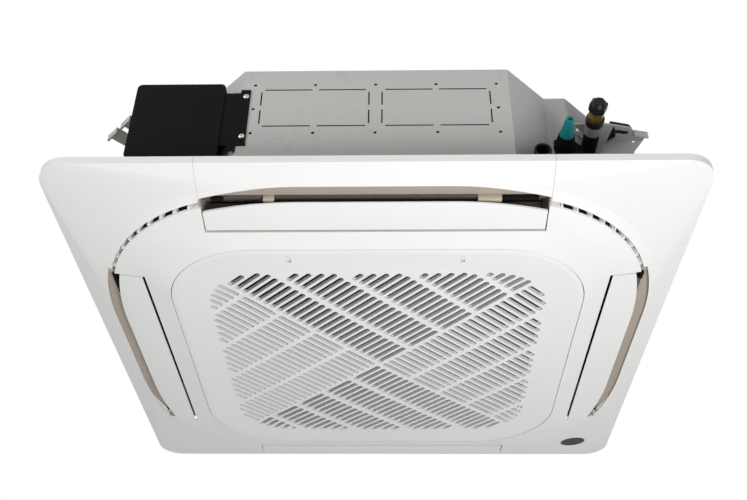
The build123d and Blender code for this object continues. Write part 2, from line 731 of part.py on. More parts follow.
def knock_outs():
    """Perforated lines and small holes of the near wall's duct knock-outs."""
    y0 = -CABINET_HALF - 1
    y1 = -CABINET_HALF + SHEET + 1
    line = KNOCK_LINE / 2
    tab = 5.0
    cuts = []
    middle_x = (KNOCK_NEAR + KNOCK_FAR) / 2
    middle_z = (KNOCK_LOW + KNOCK_HIGH) / 2
    for sign in (-1, 1):
        for z in (KNOCK_LOW, KNOCK_HIGH):
            for a, b in ((KNOCK_NEAR + tab, middle_x - tab), (middle_x + tab, KNOCK_FAR - tab)):
                cuts.append(block(sign * a, sign * b, y0, y1, z - line, z + line))
        for x in (KNOCK_NEAR, KNOCK_FAR):
            for a, b in ((KNOCK_LOW + tab, middle_z - tab), (middle_z + tab, KNOCK_HIGH - tab)):
                cuts.append(block(sign * x - line, sign * x + line, y0, y1, a, b))
    around = KNOCK_FAR + 11
    for z in (KNOCK_LOW - 14, KNOCK_HIGH + 11):
        for x in (-around, -around / 2, 0, around / 2, around):
            cuts.append(rod_y(y0, y1, x, z, HOLE_R))
    for x in (-around, around):
        cuts.append(rod_y(y0, y1, x, middle_z - 2, HOLE_R))
    return cuts


def foam_joints():
    """Thin gaps that part the foam lining into four side sheets and four corner sheets."""
    gaps = []
    for sign in (-1, 1):
        x = sign * FOAM_SHEET_HALF
        gap = block(x - SEAT / 2, x + SEAT / 2, -CABINET_HALF, -CABINET_HALF + 2 * LINER_THICK, 0, FAR)
        for side in range(4):
            gaps.append(turned(gap, side))
    return gaps


def cabinet():
    """The folded sheet-metal casing, its top and its foam lining."""
    walls = cabinet_plan(0) - cabinet_plan(SHEET)
    shell = prism(walls, CABINET_BOTTOM, CABINET_TOP - SHEET)
    cutters = []
    for side in range(4):
        cutters += [turned(cut, side) for cut in knock_outs()]
    reach = -WALL_STEP
    cutters.append(rod_y(reach - 4, reach + 4, LIQUID_X, LIQUID_Z, LIQUID_R + 2))
    cutters.append(rod_y(reach - 10, reach + 90, GAS_X, GAS_Z, GAS_R + 2))
    cutters.append(rod_y(-CABINET_HALF, -WALL_STEP + 10, DRAIN_X, DRAIN_Z, DRAIN_R - DRAIN_WALL))
    add("cabinet_shell", shell - cutters)
    top = prism(cabinet_plan(0), CABINET_TOP - SHEET, CABINET_TOP)
    add("cabinet_top", top)
    inner = cabinet_plan(SHEET) - cabinet_plan(SHEET + LINER_THICK)
    foam = prism(inner, CABINET_BOTTOM + PAN_THICK, CABINET_TOP - SHEET)
    foam -= rod_y(-WALL_STEP - 5, -WALL_STEP + 30, LIQUID_X, LIQUID_Z, LIQUID_R + 2)
    foam -= rod_y(-WALL_STEP - 5, -WALL_STEP + 90, GAS_X, GAS_Z, GAS_R + 2)
    foam -= rod_y(-CABINET_HALF, -WALL_STEP + 40, DRAIN_X, DRAIN_Z, DRAIN_R - DRAIN_WALL)
    add("cabinet_foam", foam - foam_joints())


def coil_plan(inset):
    """The coil's plan outline."""
    return rounded(COIL_HALF - inset, COIL_CURVE - inset)


def drain_pan():
    """The foam floor: a trough under the coil, an inlet hole and four outlet holes."""
    low = CABINET_BOTTOM
    high = CABINET_BOTTOM + PAN_THICK
    pan = prism(cabinet_plan(SHEET), low, high)
    trough = coil_plan(-4) - coil_plan(COIL_DEPTH + 4)
    pan -= prism(trough, high - PAN_TROUGH, high + 1)
    pan -= rod_z(low - 1, high + 1, 0, 0, PAN_HOLE)
    throat = block(-PAN_THROAT, PAN_THROAT, -THROAT_OUTER, -INNER_EDGE - 2, low - 1, high + 1)
    bore = rod_z(low - 1, low + STUD_ABOVE, POST, POST, STUD_R + RUNNING)
    for side in range(4):
        pan -= turned(throat, side)
        pan -= turned(bore, side)
    add("drain_pan", pan)


def coil():
    """The bent heat exchanger, open at the near right corner, with its tube ends there."""
    low = CABINET_BOTTOM + PAN_THICK - PAN_TROUGH + SEAT
    ring = prism(coil_plan(0) - coil_plan(COIL_DEPTH), low, COIL_TOP)
    ring -= block(COIL_GAP, FAR, -FAR, -COIL_GAP, 0, FAR)
    add("heat_exchanger", ring)
    pitch = (COIL_TOP - low) / TUBE_ROWS
    mid = COIL_HALF - COIL_DEPTH / 2
    across = Plane(origin=(0, 0, 0), z_dir=(1, 1, 0))
    half = TUBE_PITCH / 2
    end = -COIL_GAP - 9
    bends = []
    for index in range(TUBE_ROWS):
        z = low + pitch * (index + 0.5)
        first = rod_y(end, -COIL_GAP, mid - half, z, TUBE_R)
        second = rod_y(end, -COIL_GAP, mid + half, z, TUBE_R)
        bridge = rod_x(mid - half - TUBE_R, mid + half + TUBE_R, end, z, TUBE_R)
        bend = first + second + bridge
        bends += [bend, mirror(bend, across)]
    add("coil_bends", Compound(children=bends))


def fan():
    """The turbo fan, its motor, the motor's feet and the inlet bell."""
    bell = rod_z(CABINET_BOTTOM, CABINET_BOTTOM + BELL_WALL, 0, 0, PAN_HOLE + 12)
    throat = rod_z(CABINET_BOTTOM, CABINET_BOTTOM + BELL_HEIGHT, 0, 0, BELL_R + BELL_WALL)
    bore = rod_z(0, FAR / 4, 0, 0, BELL_R)
    bell = Pos(0, 0, -BELL_WALL - SEAT) * (bell + throat - bore)
    add("bell_mouth", bell)
    plate = rod_z(FAN_TOP - FAN_PLATE, FAN_TOP, 0, 0, FAN_R)
    shroud = rod_z(FAN_BOTTOM + 12, FAN_BOTTOM + 12 + FAN_PLATE, 0, 0, FAN_R)
    eye = rod_z(FAN_BOTTOM, FAN_BOTTOM + 14, 0, 0, FAN_EYE_R + FAN_PLATE)
    hole = rod_z(0, FAN_BOTTOM + 20, 0, 0, FAN_EYE_R)
    wheel = plate + (shroud + eye - hole)
    blade = block(-3, 3, -38, 38, FAN_BOTTOM + 13, FAN_TOP - 1)
    for index in range(FAN_BLADES):
        angle = 360 * index / FAN_BLADES
        wheel += Rot(0, 0, angle) * Pos(FAN_R - 42, 0, 0) * Rot(0, 0, 38) * blade
    wheel += rod_z(FAN_TOP - 34, FAN_TOP, 0, 0, 26)
    wheel -= rod_z(0, FAR / 4, 0, 0, SHAFT_R + RUNNING)
    add("fan_wheel", wheel)
    low = FAN_TOP - 34 - 10
    nut = rod_z(low, low + 9.7, 0, 0, 12) - rod_z(0, FAR / 4, 0, 0, SHAFT_R + RUNNING)
    add("fan_nut", nut)
    top = CABINET_TOP - SHEET
    motor = rod_z(FAN_MOTOR_LOW, top - 12, 0, 0, FAN_MOTOR_R)
    motor += rod_z(low - 3, FAN_MOTOR_LOW + 1, 0, 0, SHAFT_R)
    motor += rod_z(top - 24, top - 16, 0, 0, FAN_MOTOR_R + 4)
    feet = []
    for side in range(4):
        lug = block(0, MOTOR_FOOT + 10, -11, 11, top - 22, top - 17)
        motor += turned(lug, side)
        foot = rod_z(top - 17, top, MOTOR_FOOT, 0, 9)
        bolt = rod_z(top - 28, top - 22, MOTOR_FOOT, 0, 5)
        feet.append(turned(foot, side))
        feet.append(turned(bolt, side))
    add("fan_motor", motor)
    add("motor_mounts", Compound(children=feet))


def pump():
    """The drain pump and its float switch, over the pan's far right corner."""
    floor = CABINET_BOTTOM + PAN_THICK
    body = rod_z(floor, floor + 34, PUMP_X, PUMP_X, PUMP_R)
    body += rod_z(floor + 34, floor + 84, PUMP_X, PUMP_X, PUMP_R - 4)
    body += rod_y(PUMP_X, PUMP_X + 40, PUMP_X, floor + 24, 7)
    add("drain_pump", body)
    stem = rod_z(floor, floor + 56, FLOAT_X, FLOAT_Y, STEM_R)
    stem += rod_z(floor, floor + 3, FLOAT_X, FLOAT_Y, 9)
    stem += rod_z(floor + 40, floor + 56, FLOAT_X, FLOAT_Y, 9)
    add("float_stem", stem)
    ring = rod_z(floor + 3 + SEAT, floor + 21, FLOAT_X, FLOAT_Y, FLOAT_R)
    ring -= rod_z(0, FAR / 4, FLOAT_X, FLOAT_Y, STEM_R + RUNNING)
    add("float", ring)


# ---- control box -----------------------------------------------------------------------
def control_box():
    """The black wiring box in the near left step, with its flange, cover, board and screws."""
    back = -WALL_STEP - SEAT
    width = BOX_RIGHT - BOX_LEFT
    height = BOX_HIGH - BOX_LOW
    inside = BOX_CORNER - BOX_WALL
    depth = back - BOX_FRONT
    placed = Pos((BOX_LEFT + BOX_RIGHT) / 2, back, (BOX_LOW + BOX_HIGH) / 2) * Rot(90, 0, 0)
    face = RectangleRounded(width, height, BOX_CORNER)
    hollow = RectangleRounded(width - 2 * BOX_WALL, height - 2 * BOX_WALL, inside)
    casing = prism(cabinet_plan(-SEAT), 0, FAR / 4)
    lining = prism(cabinet_plan(-SEAT - BOX_WALL), 0, FAR / 4)
    tray = extrude(placed * face, depth - BOX_WALL - SEAT) - casing
    tray -= extrude(placed * hollow, depth) - lining
    wall = -CABINET_HALF - SEAT
    flange_x = FLANGE_RIGHT - 15
    flange = block(BOX_RIGHT - 1, FLANGE_RIGHT, wall - FLANGE_SHEET, wall, FLANGE_LOW, FLANGE_HIGH - 7)
    step = block(flange_x, FLANGE_RIGHT, wall - FLANGE_SHEET, wall, FLANGE_HIGH - 8, FLANGE_HIGH)
    tab = block(flange_x - 11, flange_x, wall - FLANGE_SHEET, wall, FLANGE_LOW - 11, FLANGE_LOW + 1)
    add("control_box", tray + flange + step + tab)
    add("control_box_cover", extrude(placed * Pos(0, 0, depth - BOX_WALL) * face, BOX_WALL))
    board_in(back - BOX_WALL)
    front = wall - FLANGE_SHEET
    screws = [rod_y(front - SCREW_HIGH, front, FLANGE_RIGHT - 6, z, SCREW_R) for z in FLANGE_SCREWS]
    add("box_screws", Compound(children=screws))


def board_in(deep):
    """The circuit board on its pillars and the terminal block, on the box's back wall."""
    left = BOX_LEFT + 10
    right = -CORNER_CUT + 38
    board = block(left, right, deep - 8, deep - 6, BOX_LOW + 12, BOX_HIGH - 12)
    for x in (left + 7, right - 7):
        for z in (BOX_LOW + 20, BOX_HIGH - 20):
            board += rod_y(deep - 7, deep, x, z, 3)
    choke = block(left + 10, left + 42, deep - 32, deep - 7, BOX_HIGH - 70, BOX_HIGH - 35)
    capacitor = rod_y(deep - 38, deep - 7, right - 20, BOX_HIGH - 50, 9)
    add("control_board", board + choke + capacitor)
    low = BOX_LOW + 32
    terminal = block(left + 8, right - 4, deep - 30, deep - 8 - SEAT, low, low + 22)
    for index in range(TERMINALS):
        x = left + 18 + index * 14
        terminal -= rod_y(deep - 31, deep - 22, x, low + 11, 4)
    add("terminal_block", terminal)


# ---- hangers ---------------------------------------------------------------------------
def chamfer():
    """Distance of a cut corner's wall from the middle along the corner's diagonal."""
    return (CORNER_CUT + WALL_STEP) / ROOT2


def hanger():
    """The near right hanging bracket, in the frame of its corner's diagonal."""
    wall = chamfer() + SEAT
    high = HANGER_Z
    low = high - HANGER_SHEET
    rod = (ROD_X + ROD_Y) / ROOT2
    middle = (ROD_X - ROD_Y) / ROOT2
    near = middle - HANGER_WIDTH / 2
    far = middle + HANGER_WIDTH / 2
    out = rod + ROD_EDGE
    neck = out - HANGER_TIP
    half = HANGER_BACK / 2
    corners = [(wall, -half), (wall, half), (neck, far), (out, far), (out, near), (neck, near)]
    tongue = prism(make_face(Polyline(*corners, close=True)), low, high)
    lip = block(out - HANGER_SHEET, out, near, far, high - HANGER_LIP, high)
    back = block(wall, wall + HANGER_SHEET, -half, half, high - HANGER_DROP, high)
    leg = block(wall, wall + HANGER_SHEET, half - HANGER_LEG, half, HANGER_FOOT, high)
    corners = [(wall + 1, HANGER_FOOT), (out - 35, HANGER_FOOT), (out - 8, high - 1), (wall + 1, high - 1)]
    web = Plane.XZ * make_face(Polyline(*corners, close=True))
    web = Pos(0, half - HANGER_SHEET, 0) * extrude(web, HANGER_SHEET)
    bracket = tongue + lip + back + leg + web
    bracket -= block(rod, out + 1, middle - ROD_SLOT / 2, middle + ROD_SLOT / 2, 0, FAR)
    bracket -= rod_z(0, FAR, rod, middle, ROD_SLOT / 2 + ROD_RELIEF)
    corners = [(rod - 12, high - 14), (rod - 2, high - 14), (rod - 7, high - 24)]
    hole = Plane.XZ * make_face(Polyline(*corners, close=True))
    bracket -= Pos(0, half + 1, 0) * extrude(hole, HANGER_SHEET + 2)
    return bracket


def polygon_prism(points, low, high):
    """A plan polygon drawn up from one height to another."""
    return prism(make_face(Polyline(*points, close=True)), low, high)


def rod_keyhole():
    """The narrow end of the keyhole, as a plan shape."""
    slot = SlotCenterToCenter(KEYHOLE_SLOT_LONG, KEYHOLE_SLOT_WIDE)
    return Pos(*KEYHOLE_SLOT) * Rot(0, 0, KEYHOLE_TILT) * slot


def keyhole_hanger():
    """The near right bracket beside the pipes: a tongue towards +X with a keyhole, on a web."""
    high = HANGER_Z
    low = high - HANGER_SHEET
    wall = chamfer() + SEAT
    half = HANGER_BACK / 2
    back = block(wall, wall + HANGER_SHEET, -half, half, high - HANGER_DROP, high)
    corners = [((wall + s * half) / ROOT2, (s * half - wall) / ROOT2) for s in (-1, 1)]
    tongue = polygon_prism([corners[0], *KEYHOLE_TONGUE, *KEYHOLE_ROOT, corners[1]], low, high)
    lip = tongue_lip(high - HANGER_LIP, high)
    profile = [
        (-WEB_BACK, HANGER_FOOT),
        (-WEB_BACK, high),
        (WEB_LONG, high),
        (WEB_STEP_X, WEB_STEP_Z),
        (WEB_STEP_X, HANGER_FOOT),
    ]
    web = extrude(Plane.XZ * make_face(Polyline(*profile, close=True)), HANGER_SHEET)
    hole_x, hole_z = WEB_HOLE
    web -= rod_y(-FAR / 4, FAR / 4, hole_x, hole_z, HOLE_R)
    web = Pos(KEYHOLE_ROOT[0][0], KEYHOLE_ROOT[0][1] + 1, 0) * Rot(0, 0, WEB_TILT) * web
    bracket = Rot(0, 0, -45) * back + tongue + lip + web
    bracket -= polygon_prism(KEYHOLE, low - 1, high + 1)
    return bracket - prism(rod_keyhole(), low - 1, high + 1)


def tongue_lip(low, high):
    """The keyhole tongue's edge folded down near its tip."""
    start, end = KEYHOLE_TONGUE[2], KEYHOLE_TONGUE[3]
    outline = [start, end, (end[0], end[1] + HANGER_SHEET), (start[0], start[1] + HANGER_SHEET)]
    lip = polygon_prism(outline, low, high)
    return lip & block(KEYHOLE_LIP_X, FAR, -FAR, 0, 0, FAR)


def hangers():
    """Four brackets: three alike in mirror image, and the one beside the pipes, with screws."""
    fork = Rot(0, 0, -45) * hanger()
    brackets = {
        "near_right": keyhole_hanger(),
        "near_left": mirror(fork, Plane.YZ),
        "far_right": mirror(fork, Plane.XZ),
        "far_left": mirror(mirror(fork, Plane.YZ), Plane.XZ),
    }
    pad = polygon_prism(PAD, HANGER_Z, HANGER_Z + PAD_THICK)
    add("hanger_pad", pad - prism(rod_keyhole(), 0, FAR))
    for name, bracket in brackets.items():
        add("hanger_" + name, bracket)
    wall = chamfer() + SEAT + HANGER_SHEET
    heads = []
    for share in (-0.64, 0.0, 0.5):
        along = share * HANGER_BACK / 2
        head = rod_x(wall, wall + SCREW_HIGH, along, HANGER_Z - HANGER_DROP / 2 - 1, SCREW_R)
        near = Rot(0, 0, -45) * head
        heads += [near, mirror(near, Plane.YZ), mirror(near, Plane.XZ)]
        heads.append(mirror(mirror(near, Plane.YZ), Plane.XZ))
    add("hanger_screws", Compound(children=heads))


# ---- pipes -----------------------------------------------------------------------------
def hexagon_y(y0, y1, x, z, across):
    """A hexagonal bar along Y, by its width across the flats."""
    plan = RegularPolygon(across / 2, 6, major_radius=False)
    return Pos(x, y1, z) * Rot(90, 0, 0) * extrude(plan, y1 - y0)


def liquid_line():
    """The liquid pipe through its flared foam sleeve, with a tapered cap."""
    wall = -WALL_STEP
    sleeve_end = wall - LIQUID_SLEEVE
    hole = rod_y(-FAR, 0, LIQUID_X, LIQUID_Z, LIQUID_R + RUNNING)
    middle = Pos(LIQUID_X, (sleeve_end + wall - SEAT) / 2, LIQUID_Z)
    sleeve = middle * Rot(90, 0, 0) * Cone(SLEEVE_R + 4, SLEEVE_R, wall - SEAT - sleeve_end)
    add("liquid_sleeve", sleeve - hole)
    add("liquid_pipe", rod_y(sleeve_end - 14, wall + 40, LIQUID_X, LIQUID_Z, LIQUID_R))
    back = sleeve_end - SEAT
    middle = Pos(LIQUID_X, (back - LIQUID_TIP) / 2, LIQUID_Z)
    cone = middle * Rot(90, 0, 0) * Cone(11.5, 6.2, back + LIQUID_TIP)
    socket = rod_y(sleeve_end - 14 - SEAT, sleeve_end + 1, LIQUID_X, LIQUID_Z, LIQUID_R + RUNNING)
    mouth = rod_y(-LIQUID_TIP - 1, -LIQUID_TIP + 15, LIQUID_X, LIQUID_Z, 3.6)
    add("liquid_cap", cone - socket - mouth)


def gas_line():
    """The gas pipe through its foam sleeve, with a label band, a collar, a nut and a cap."""
    start = GAS_X - CORNER_CUT - WALL_STEP
    hole = rod_y(-FAR, 0, GAS_X, GAS_Z, GAS_R + RUNNING)
    sleeve = rod_y(-GAS_COLLAR, start + 20, GAS_X, GAS_Z, SLEEVE_R) - hole
    outside = Rot(0, 0, -45) * block(chamfer() + SEAT, FAR, -FAR, FAR, 0, FAR)
    add("gas_sleeve", sleeve & outside)
    add("gas_pipe", rod_y(-GAS_NUT - 6, start + 70, GAS_X, GAS_Z, GAS_R))
    band = rod_y(-GAS_COLLAR + 1, -GAS_COLLAR + 19, GAS_X, GAS_Z, SLEEVE_R + 0.8)
    band -= rod_y(-FAR, 0, GAS_X, GAS_Z, SLEEVE_R + RUNNING)
    add("gas_band", band)
    add("gas_collar", rod_y(-GAS_NUT + SEAT, -GAS_COLLAR - SEAT, GAS_X, GAS_Z, COLLAR_R) - hole)
    add("gas_nut", hexagon_y(-GAS_CAP, -GAS_NUT, GAS_X, GAS_Z, GAS_NUT_WIDE) - hole)
    cap = hexagon_y(-GAS_TIP + 5, -GAS_CAP - SEAT, GAS_X, GAS_Z, GAS_CAP_WIDE)
    middle = Pos(GAS_X, -GAS_TIP + 2.5, GAS_Z) * Rot(90, 0, 0)
    tip = middle * Cone(GAS_CAP_WIDE / 2, GAS_CAP_WIDE / 2 - 4, 5)
    add("gas_cap", cap + tip)


def wall_fittings():
    """The foam plate round the pipes at the wall, and the drain socket."""
    plate = prism(cabinet_plan(-GROMMET_THICK) - cabinet_plan(-SEAT), GROMMET_LOW, GROMMET_HIGH)
    plate &= block(WALL_STEP - 80, WALL_STEP - 4, -FAR, -CORNER_CUT, 0, FAR)
    plate -= rod_y(-FAR, 0, LIQUID_X, LIQUID_Z, SLEEVE_R + 4 + SEAT)
    plate -= rod_y(-FAR, 0, GAS_X, GAS_Z, SLEEVE_R + RUNNING)
    add("pipe_grommet", plate)
    start = -CABINET_HALF + 4
    spout = rod_y(start, start + DRAIN_SPOUT, DRAIN_X, DRAIN_Z, DRAIN_R)
    spout += rod_y(start + DRAIN_SPOUT, -WALL_STEP - 8, DRAIN_X, DRAIN_Z, DRAIN_R + 2)
    bevel = Rot(0, 0, -45) * block((SIDE_HALF + CABINET_HALF) / ROOT2 + SEAT, FAR, -FAR, FAR, 0, FAR)
    bore = rod_y(-CABINET_HALF, -WALL_STEP + 9, DRAIN_X, DRAIN_Z, DRAIN_R - DRAIN_WALL)
    add("drain_socket", (spout & bevel) - bore)


def main():
    """Builds every node and writes one STEP file for each."""
    panel_frame_and_covers()
    badge()
    centre_ring()
    vent_seals()
    panel_studs()
    outlets()
    grille_parts()
    cabinet()
    drain_pan()
    coil()
    fan()
    pump()
    control_box()
    hangers()
    liquid_line()
    gas_line()
    wall_fittings()
    os.makedirs("parts", exist_ok=True)
    for name, shape in PARTS.items():
        export_step(shape, "parts/" + name + ".step")


main()
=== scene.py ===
"""Ceiling cassette air conditioner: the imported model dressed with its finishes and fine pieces.

Everything is in metres in the model's own frame: the origin is the middle of the ceiling
cut-out in the ceiling plane, +Z goes up into the ceiling, and -Y is the near side.
"""

from __future__ import annotations

import json
import logging
import math
from dataclasses import dataclass
from enum import Enum
from typing import Iterable, Sequence

import bmesh
import bpy
from mathutils import Matrix, Vector

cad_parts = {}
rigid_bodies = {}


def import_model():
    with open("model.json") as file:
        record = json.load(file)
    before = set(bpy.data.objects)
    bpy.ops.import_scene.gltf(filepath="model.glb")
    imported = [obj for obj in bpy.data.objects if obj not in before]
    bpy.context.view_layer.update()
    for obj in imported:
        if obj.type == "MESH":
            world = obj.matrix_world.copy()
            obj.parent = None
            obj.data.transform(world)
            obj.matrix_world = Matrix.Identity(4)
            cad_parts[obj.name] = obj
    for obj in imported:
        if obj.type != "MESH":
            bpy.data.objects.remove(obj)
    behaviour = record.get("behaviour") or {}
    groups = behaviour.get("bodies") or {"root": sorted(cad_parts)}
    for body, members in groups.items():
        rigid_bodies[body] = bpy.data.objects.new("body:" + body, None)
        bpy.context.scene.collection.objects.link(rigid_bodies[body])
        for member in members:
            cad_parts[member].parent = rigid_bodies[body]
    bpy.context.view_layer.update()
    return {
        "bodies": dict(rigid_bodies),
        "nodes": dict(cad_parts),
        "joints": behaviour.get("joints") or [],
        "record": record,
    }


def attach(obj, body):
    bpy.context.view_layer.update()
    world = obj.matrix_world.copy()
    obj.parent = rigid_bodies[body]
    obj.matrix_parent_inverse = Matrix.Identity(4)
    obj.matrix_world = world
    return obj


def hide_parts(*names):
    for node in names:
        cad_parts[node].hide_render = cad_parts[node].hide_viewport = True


log = logging.getLogger("cassette")
MM = 0.001
Point = tuple[float, float, float]
Colour = tuple[float, float, float, float]


# ---- building helpers ---------------------------------------------------------------------------
class Side(Enum):
    """The four sides of the panel, by the quarter turns that take the near side there."""

    NEAR = 0
    RIGHT = 1
    FAR = 2
    LEFT = 3

    @property
    def turn(self) -> Matrix:
        """The rotation about Z from the near side to this one."""
        return Matrix.Rotation(math.radians(90 * self.value), 4, "Z")


class Graph:
    """A small writer for node trees: it adds nodes, sets their sockets and links them."""

    def __init__(self, tree: bpy.types.NodeTree) -> None:
        """Starts on an empty tree.

        Args:
            tree: the tree that the nodes go into.
        """
        self.tree = tree
        self.column = 0

    def add(self, kind: str, inputs: dict | None = None, **settings: object) -> bpy.types.Node:
        """Adds a node.

        Args:
            kind: the node's type name.
            inputs: values or output sockets for its inputs, by name or index.
            settings: the node's own properties.

        Returns:
            The new node.
        """
        node = self.tree.nodes.new(kind)
        node.location = (self.column * 180, 0)
        self.column += 1
        for key, value in settings.items():
            setattr(node, key, value)
        for key, value in (inputs or {}).items():
            self.put(node.inputs[key], value)
        return node

    def put(self, socket: bpy.types.NodeSocket, value: object) -> None:
        """Links an output to a socket, or writes a value on it.

        Args:
            socket: the input socket.
            value: an output socket or a plain value.
        """
        if isinstance(value, bpy.types.NodeSocket):
            self.tree.links.new(value, socket)
        elif value is not None:
            socket.default_value = value


def applied(piece: bpy.types.Object) -> bpy.types.Mesh:
    """A piece's mesh with its modifiers applied, as a mesh of its own."""
    graph = bpy.context.evaluated_depsgraph_get()
    return bpy.data.meshes.new_from_object(piece.evaluated_get(graph), depsgraph=graph)


class GeometryTree(Graph):
    """A Geometry Nodes tree with named sizes, ending in real faces with one material."""

    def __init__(self, name: str, finish: bpy.types.Material) -> None:
        """Makes the tree with its geometry input and output.

        Args:
            name: the tree's name.
            finish: the material that the result wears.
        """
        super().__init__(bpy.data.node_groups.new(name, "GeometryNodeTree"))
        self.finish = finish
        for way in ("INPUT", "OUTPUT"):
            self.tree.interface.new_socket(name="Geometry", in_out=way, socket_type="NodeSocketGeometry")
        self.enter = self.tree.nodes.new("NodeGroupInput")
        self.leave = self.tree.nodes.new("NodeGroupOutput")
        self.values: dict[str, float] = {}

    def size(self, name: str, value: float) -> bpy.types.NodeSocket:
        """Adds a named input.

        Args:
            name: the input's name.
            value: what this model sets it to.

        Returns:
            The socket inside the tree.
        """
        self.tree.interface.new_socket(name=name, in_out="INPUT", socket_type="NodeSocketFloat")
        self.values[name] = value
        return self.enter.outputs[name]

    def close(self, geometry: bpy.types.NodeSocket) -> None:
        """Ends the tree in realised instances with the material.

        Args:
            geometry: the tree's result.
        """
        real = self.add("GeometryNodeRealizeInstances", {"Geometry": geometry})
        worn = self.add("GeometryNodeSetMaterial", {"Geometry": real.outputs[0], "Material": self.finish})
        self.tree.links.new(worn.outputs[0], self.leave.inputs[0])

    def copies(self, instance: bpy.types.NodeSocket, turn: str) -> None:
        """Puts a copy on each point and ends the tree.

        Args:
            instance: what is copied.
            turn: the point attribute that holds each copy's Euler angles.
        """
        angles = self.add("GeometryNodeInputNamedAttribute", {0: turn}, data_type="FLOAT_VECTOR")
        rotation = self.add("FunctionNodeEulerToRotation", {0: angles.outputs[0]}).outputs[0]
        inputs = {"Points": self.enter.outputs[0], "Instance": instance, "Rotation": rotation}
        self.close(self.add("GeometryNodeInstanceOnPoints", inputs).outputs[0])

    def bake(self, name: str, base: bpy.types.Mesh) -> bpy.types.Object:
        """Runs the tree on a mesh and keeps the plain result.

        Args:
            name: the new object's name.
            base: the mesh that the tree starts from.

        Returns:
            An object with no modifier.
        """
        carrier = bpy.data.objects.new(name + "_base", base)
        bpy.context.scene.collection.objects.link(carrier)
        modifier = carrier.modifiers.new("shape", "NODES")
        modifier.node_group = self.tree
        for item in self.tree.interface.items_tree:
            if item.item_type == "SOCKET" and item.in_out == "INPUT" and item.name in self.values:
                modifier[item.identifier] = self.values[item.name]
        mesh = applied(carrier)
        mesh.name = name
        bpy.data.objects.remove(carrier)
        return link_mesh(name, mesh)


def store(mesh: bpy.types.Mesh, name: str, values: Sequence[Point]) -> None:
    """Writes one vector for each point of a mesh.

    Args:
        mesh: the mesh.
        name: the attribute's name.
        values: the vectors.
    """
    layer = mesh.attributes.new(name, "FLOAT_VECTOR", "POINT")
    for item, value in zip(layer.data, values):
        item.vector = value


def link_mesh(name: str, mesh: bpy.types.Mesh, *finishes: bpy.types.Material) -> bpy.types.Object:
    """An object for a finished mesh.

    Args:
        name: the object's name.
        mesh: its mesh, in the model's frame.
        finishes: its materials.

    Returns:
        The object, at the origin.
    """
    made = bpy.data.objects.new(name, mesh)
    for finish in finishes:
        mesh.materials.append(finish)
    bpy.context.scene.collection.objects.link(made)
    return made


def smooth(piece: bpy.types.Object, angle: float = 32.0) -> None:
    """Shades a piece smooth, with edges sharper than an angle left crisp.

    Args:
        piece: the object.
        angle: degrees.
    """
    mesh = piece.data
    for face in mesh.polygons:
        face.use_smooth = True
    mesh.set_sharp_from_angle(angle=math.radians(angle))


# ---- finishes ------------------------------------------------------------------------------------
class SurfaceGraph(Graph):
    """A material's node tree, with its principled shader and the object's coordinates."""

    def __init__(self, material: bpy.types.Material) -> None:
        """Starts on a material.

        Args:
            material: the material, with its nodes on.
        """
        super().__init__(material.node_tree)
        self.shader = material.node_tree.nodes["Principled BSDF"]
        self.place = self.add("ShaderNodeTexCoord").outputs["Object"]

    def noise(self, scale: float, detail: float, **more: float) -> bpy.types.NodeSocket:
        """A noise over the object's coordinates."""
        inputs = {"Vector": self.place, "Scale": scale, "Detail": detail, **more}
        return self.add("ShaderNodeTexNoise", inputs).outputs["Fac"]

    def tone(self, share: bpy.types.NodeSocket, *steps: tuple[float, Colour]) -> None:
        """Colours the shader by a share.

        Args:
            share: runs from 0 to 1.
            steps: the two (position, colour) ends of the ramp.
        """
        ramp = self.add("ShaderNodeValToRGB", {"Fac": share})
        for element, (position, colour) in zip(ramp.color_ramp.elements, steps):
            element.position = position
            element.color = colour
        self.put(self.shader.inputs["Base Color"], ramp.outputs["Color"])

    def roughen(self, share: bpy.types.NodeSocket, middle: float, spread: float) -> None:
        """Varies the shader's roughness.

        Args:
            share: runs from 0 to 1.
            middle: the roughness at one half.
            spread: how far it goes to each side.
        """
        inputs = {"Value": share, "To Min": middle - spread, "To Max": middle + spread}
        rough = self.add("ShaderNodeMapRange", inputs)
        self.put(self.shader.inputs["Roughness"], rough.outputs["Result"])

    def emboss(self, height: bpy.types.NodeSocket, strength: float, depth: float) -> None:
        """Gives the surface a relief.

        Args:
            height: runs from 0 to 1.
            strength: the bump's strength.
            depth: the relief in millimetres, below zero to turn it round.
        """
        inputs = {"Height": height, "Strength": strength, "Distance": depth * MM}
        self.put(self.shader.inputs["Normal"], self.add("ShaderNodeBump", inputs).outputs["Normal"])


def tinted(colour: Point, factor: float) -> Colour:
    """A colour made lighter or darker by a factor."""
    return (*[min(1.0, c * factor) for c in colour], 1.0)


@dataclass(frozen=True)
class Finish:
    """What every finish has: its name, colour, roughness and the strength of its highlight."""

    name: str
    colour: Point
    roughness: float = 0.5
    gloss: float = 0.5

    def make(self) -> bpy.types.Material:
        """Makes the material."""
        material = bpy.data.materials.new(self.name)
        material.use_nodes = True
        material.diffuse_color = (*self.colour, 1.0)
        graph = SurfaceGraph(material)
        graph.shader.inputs["Base Color"].default_value = (*self.colour, 1.0)
        graph.shader.inputs["Roughness"].default_value = self.roughness
        graph.shader.inputs["Specular IOR Level"].default_value = self.gloss
        self.dress(graph)
        return material

    def dress(self, graph: SurfaceGraph) -> None:
        """Adds what sets this finish apart.

        Args:
            graph: the material's tree.
        """
        raise NotImplementedError


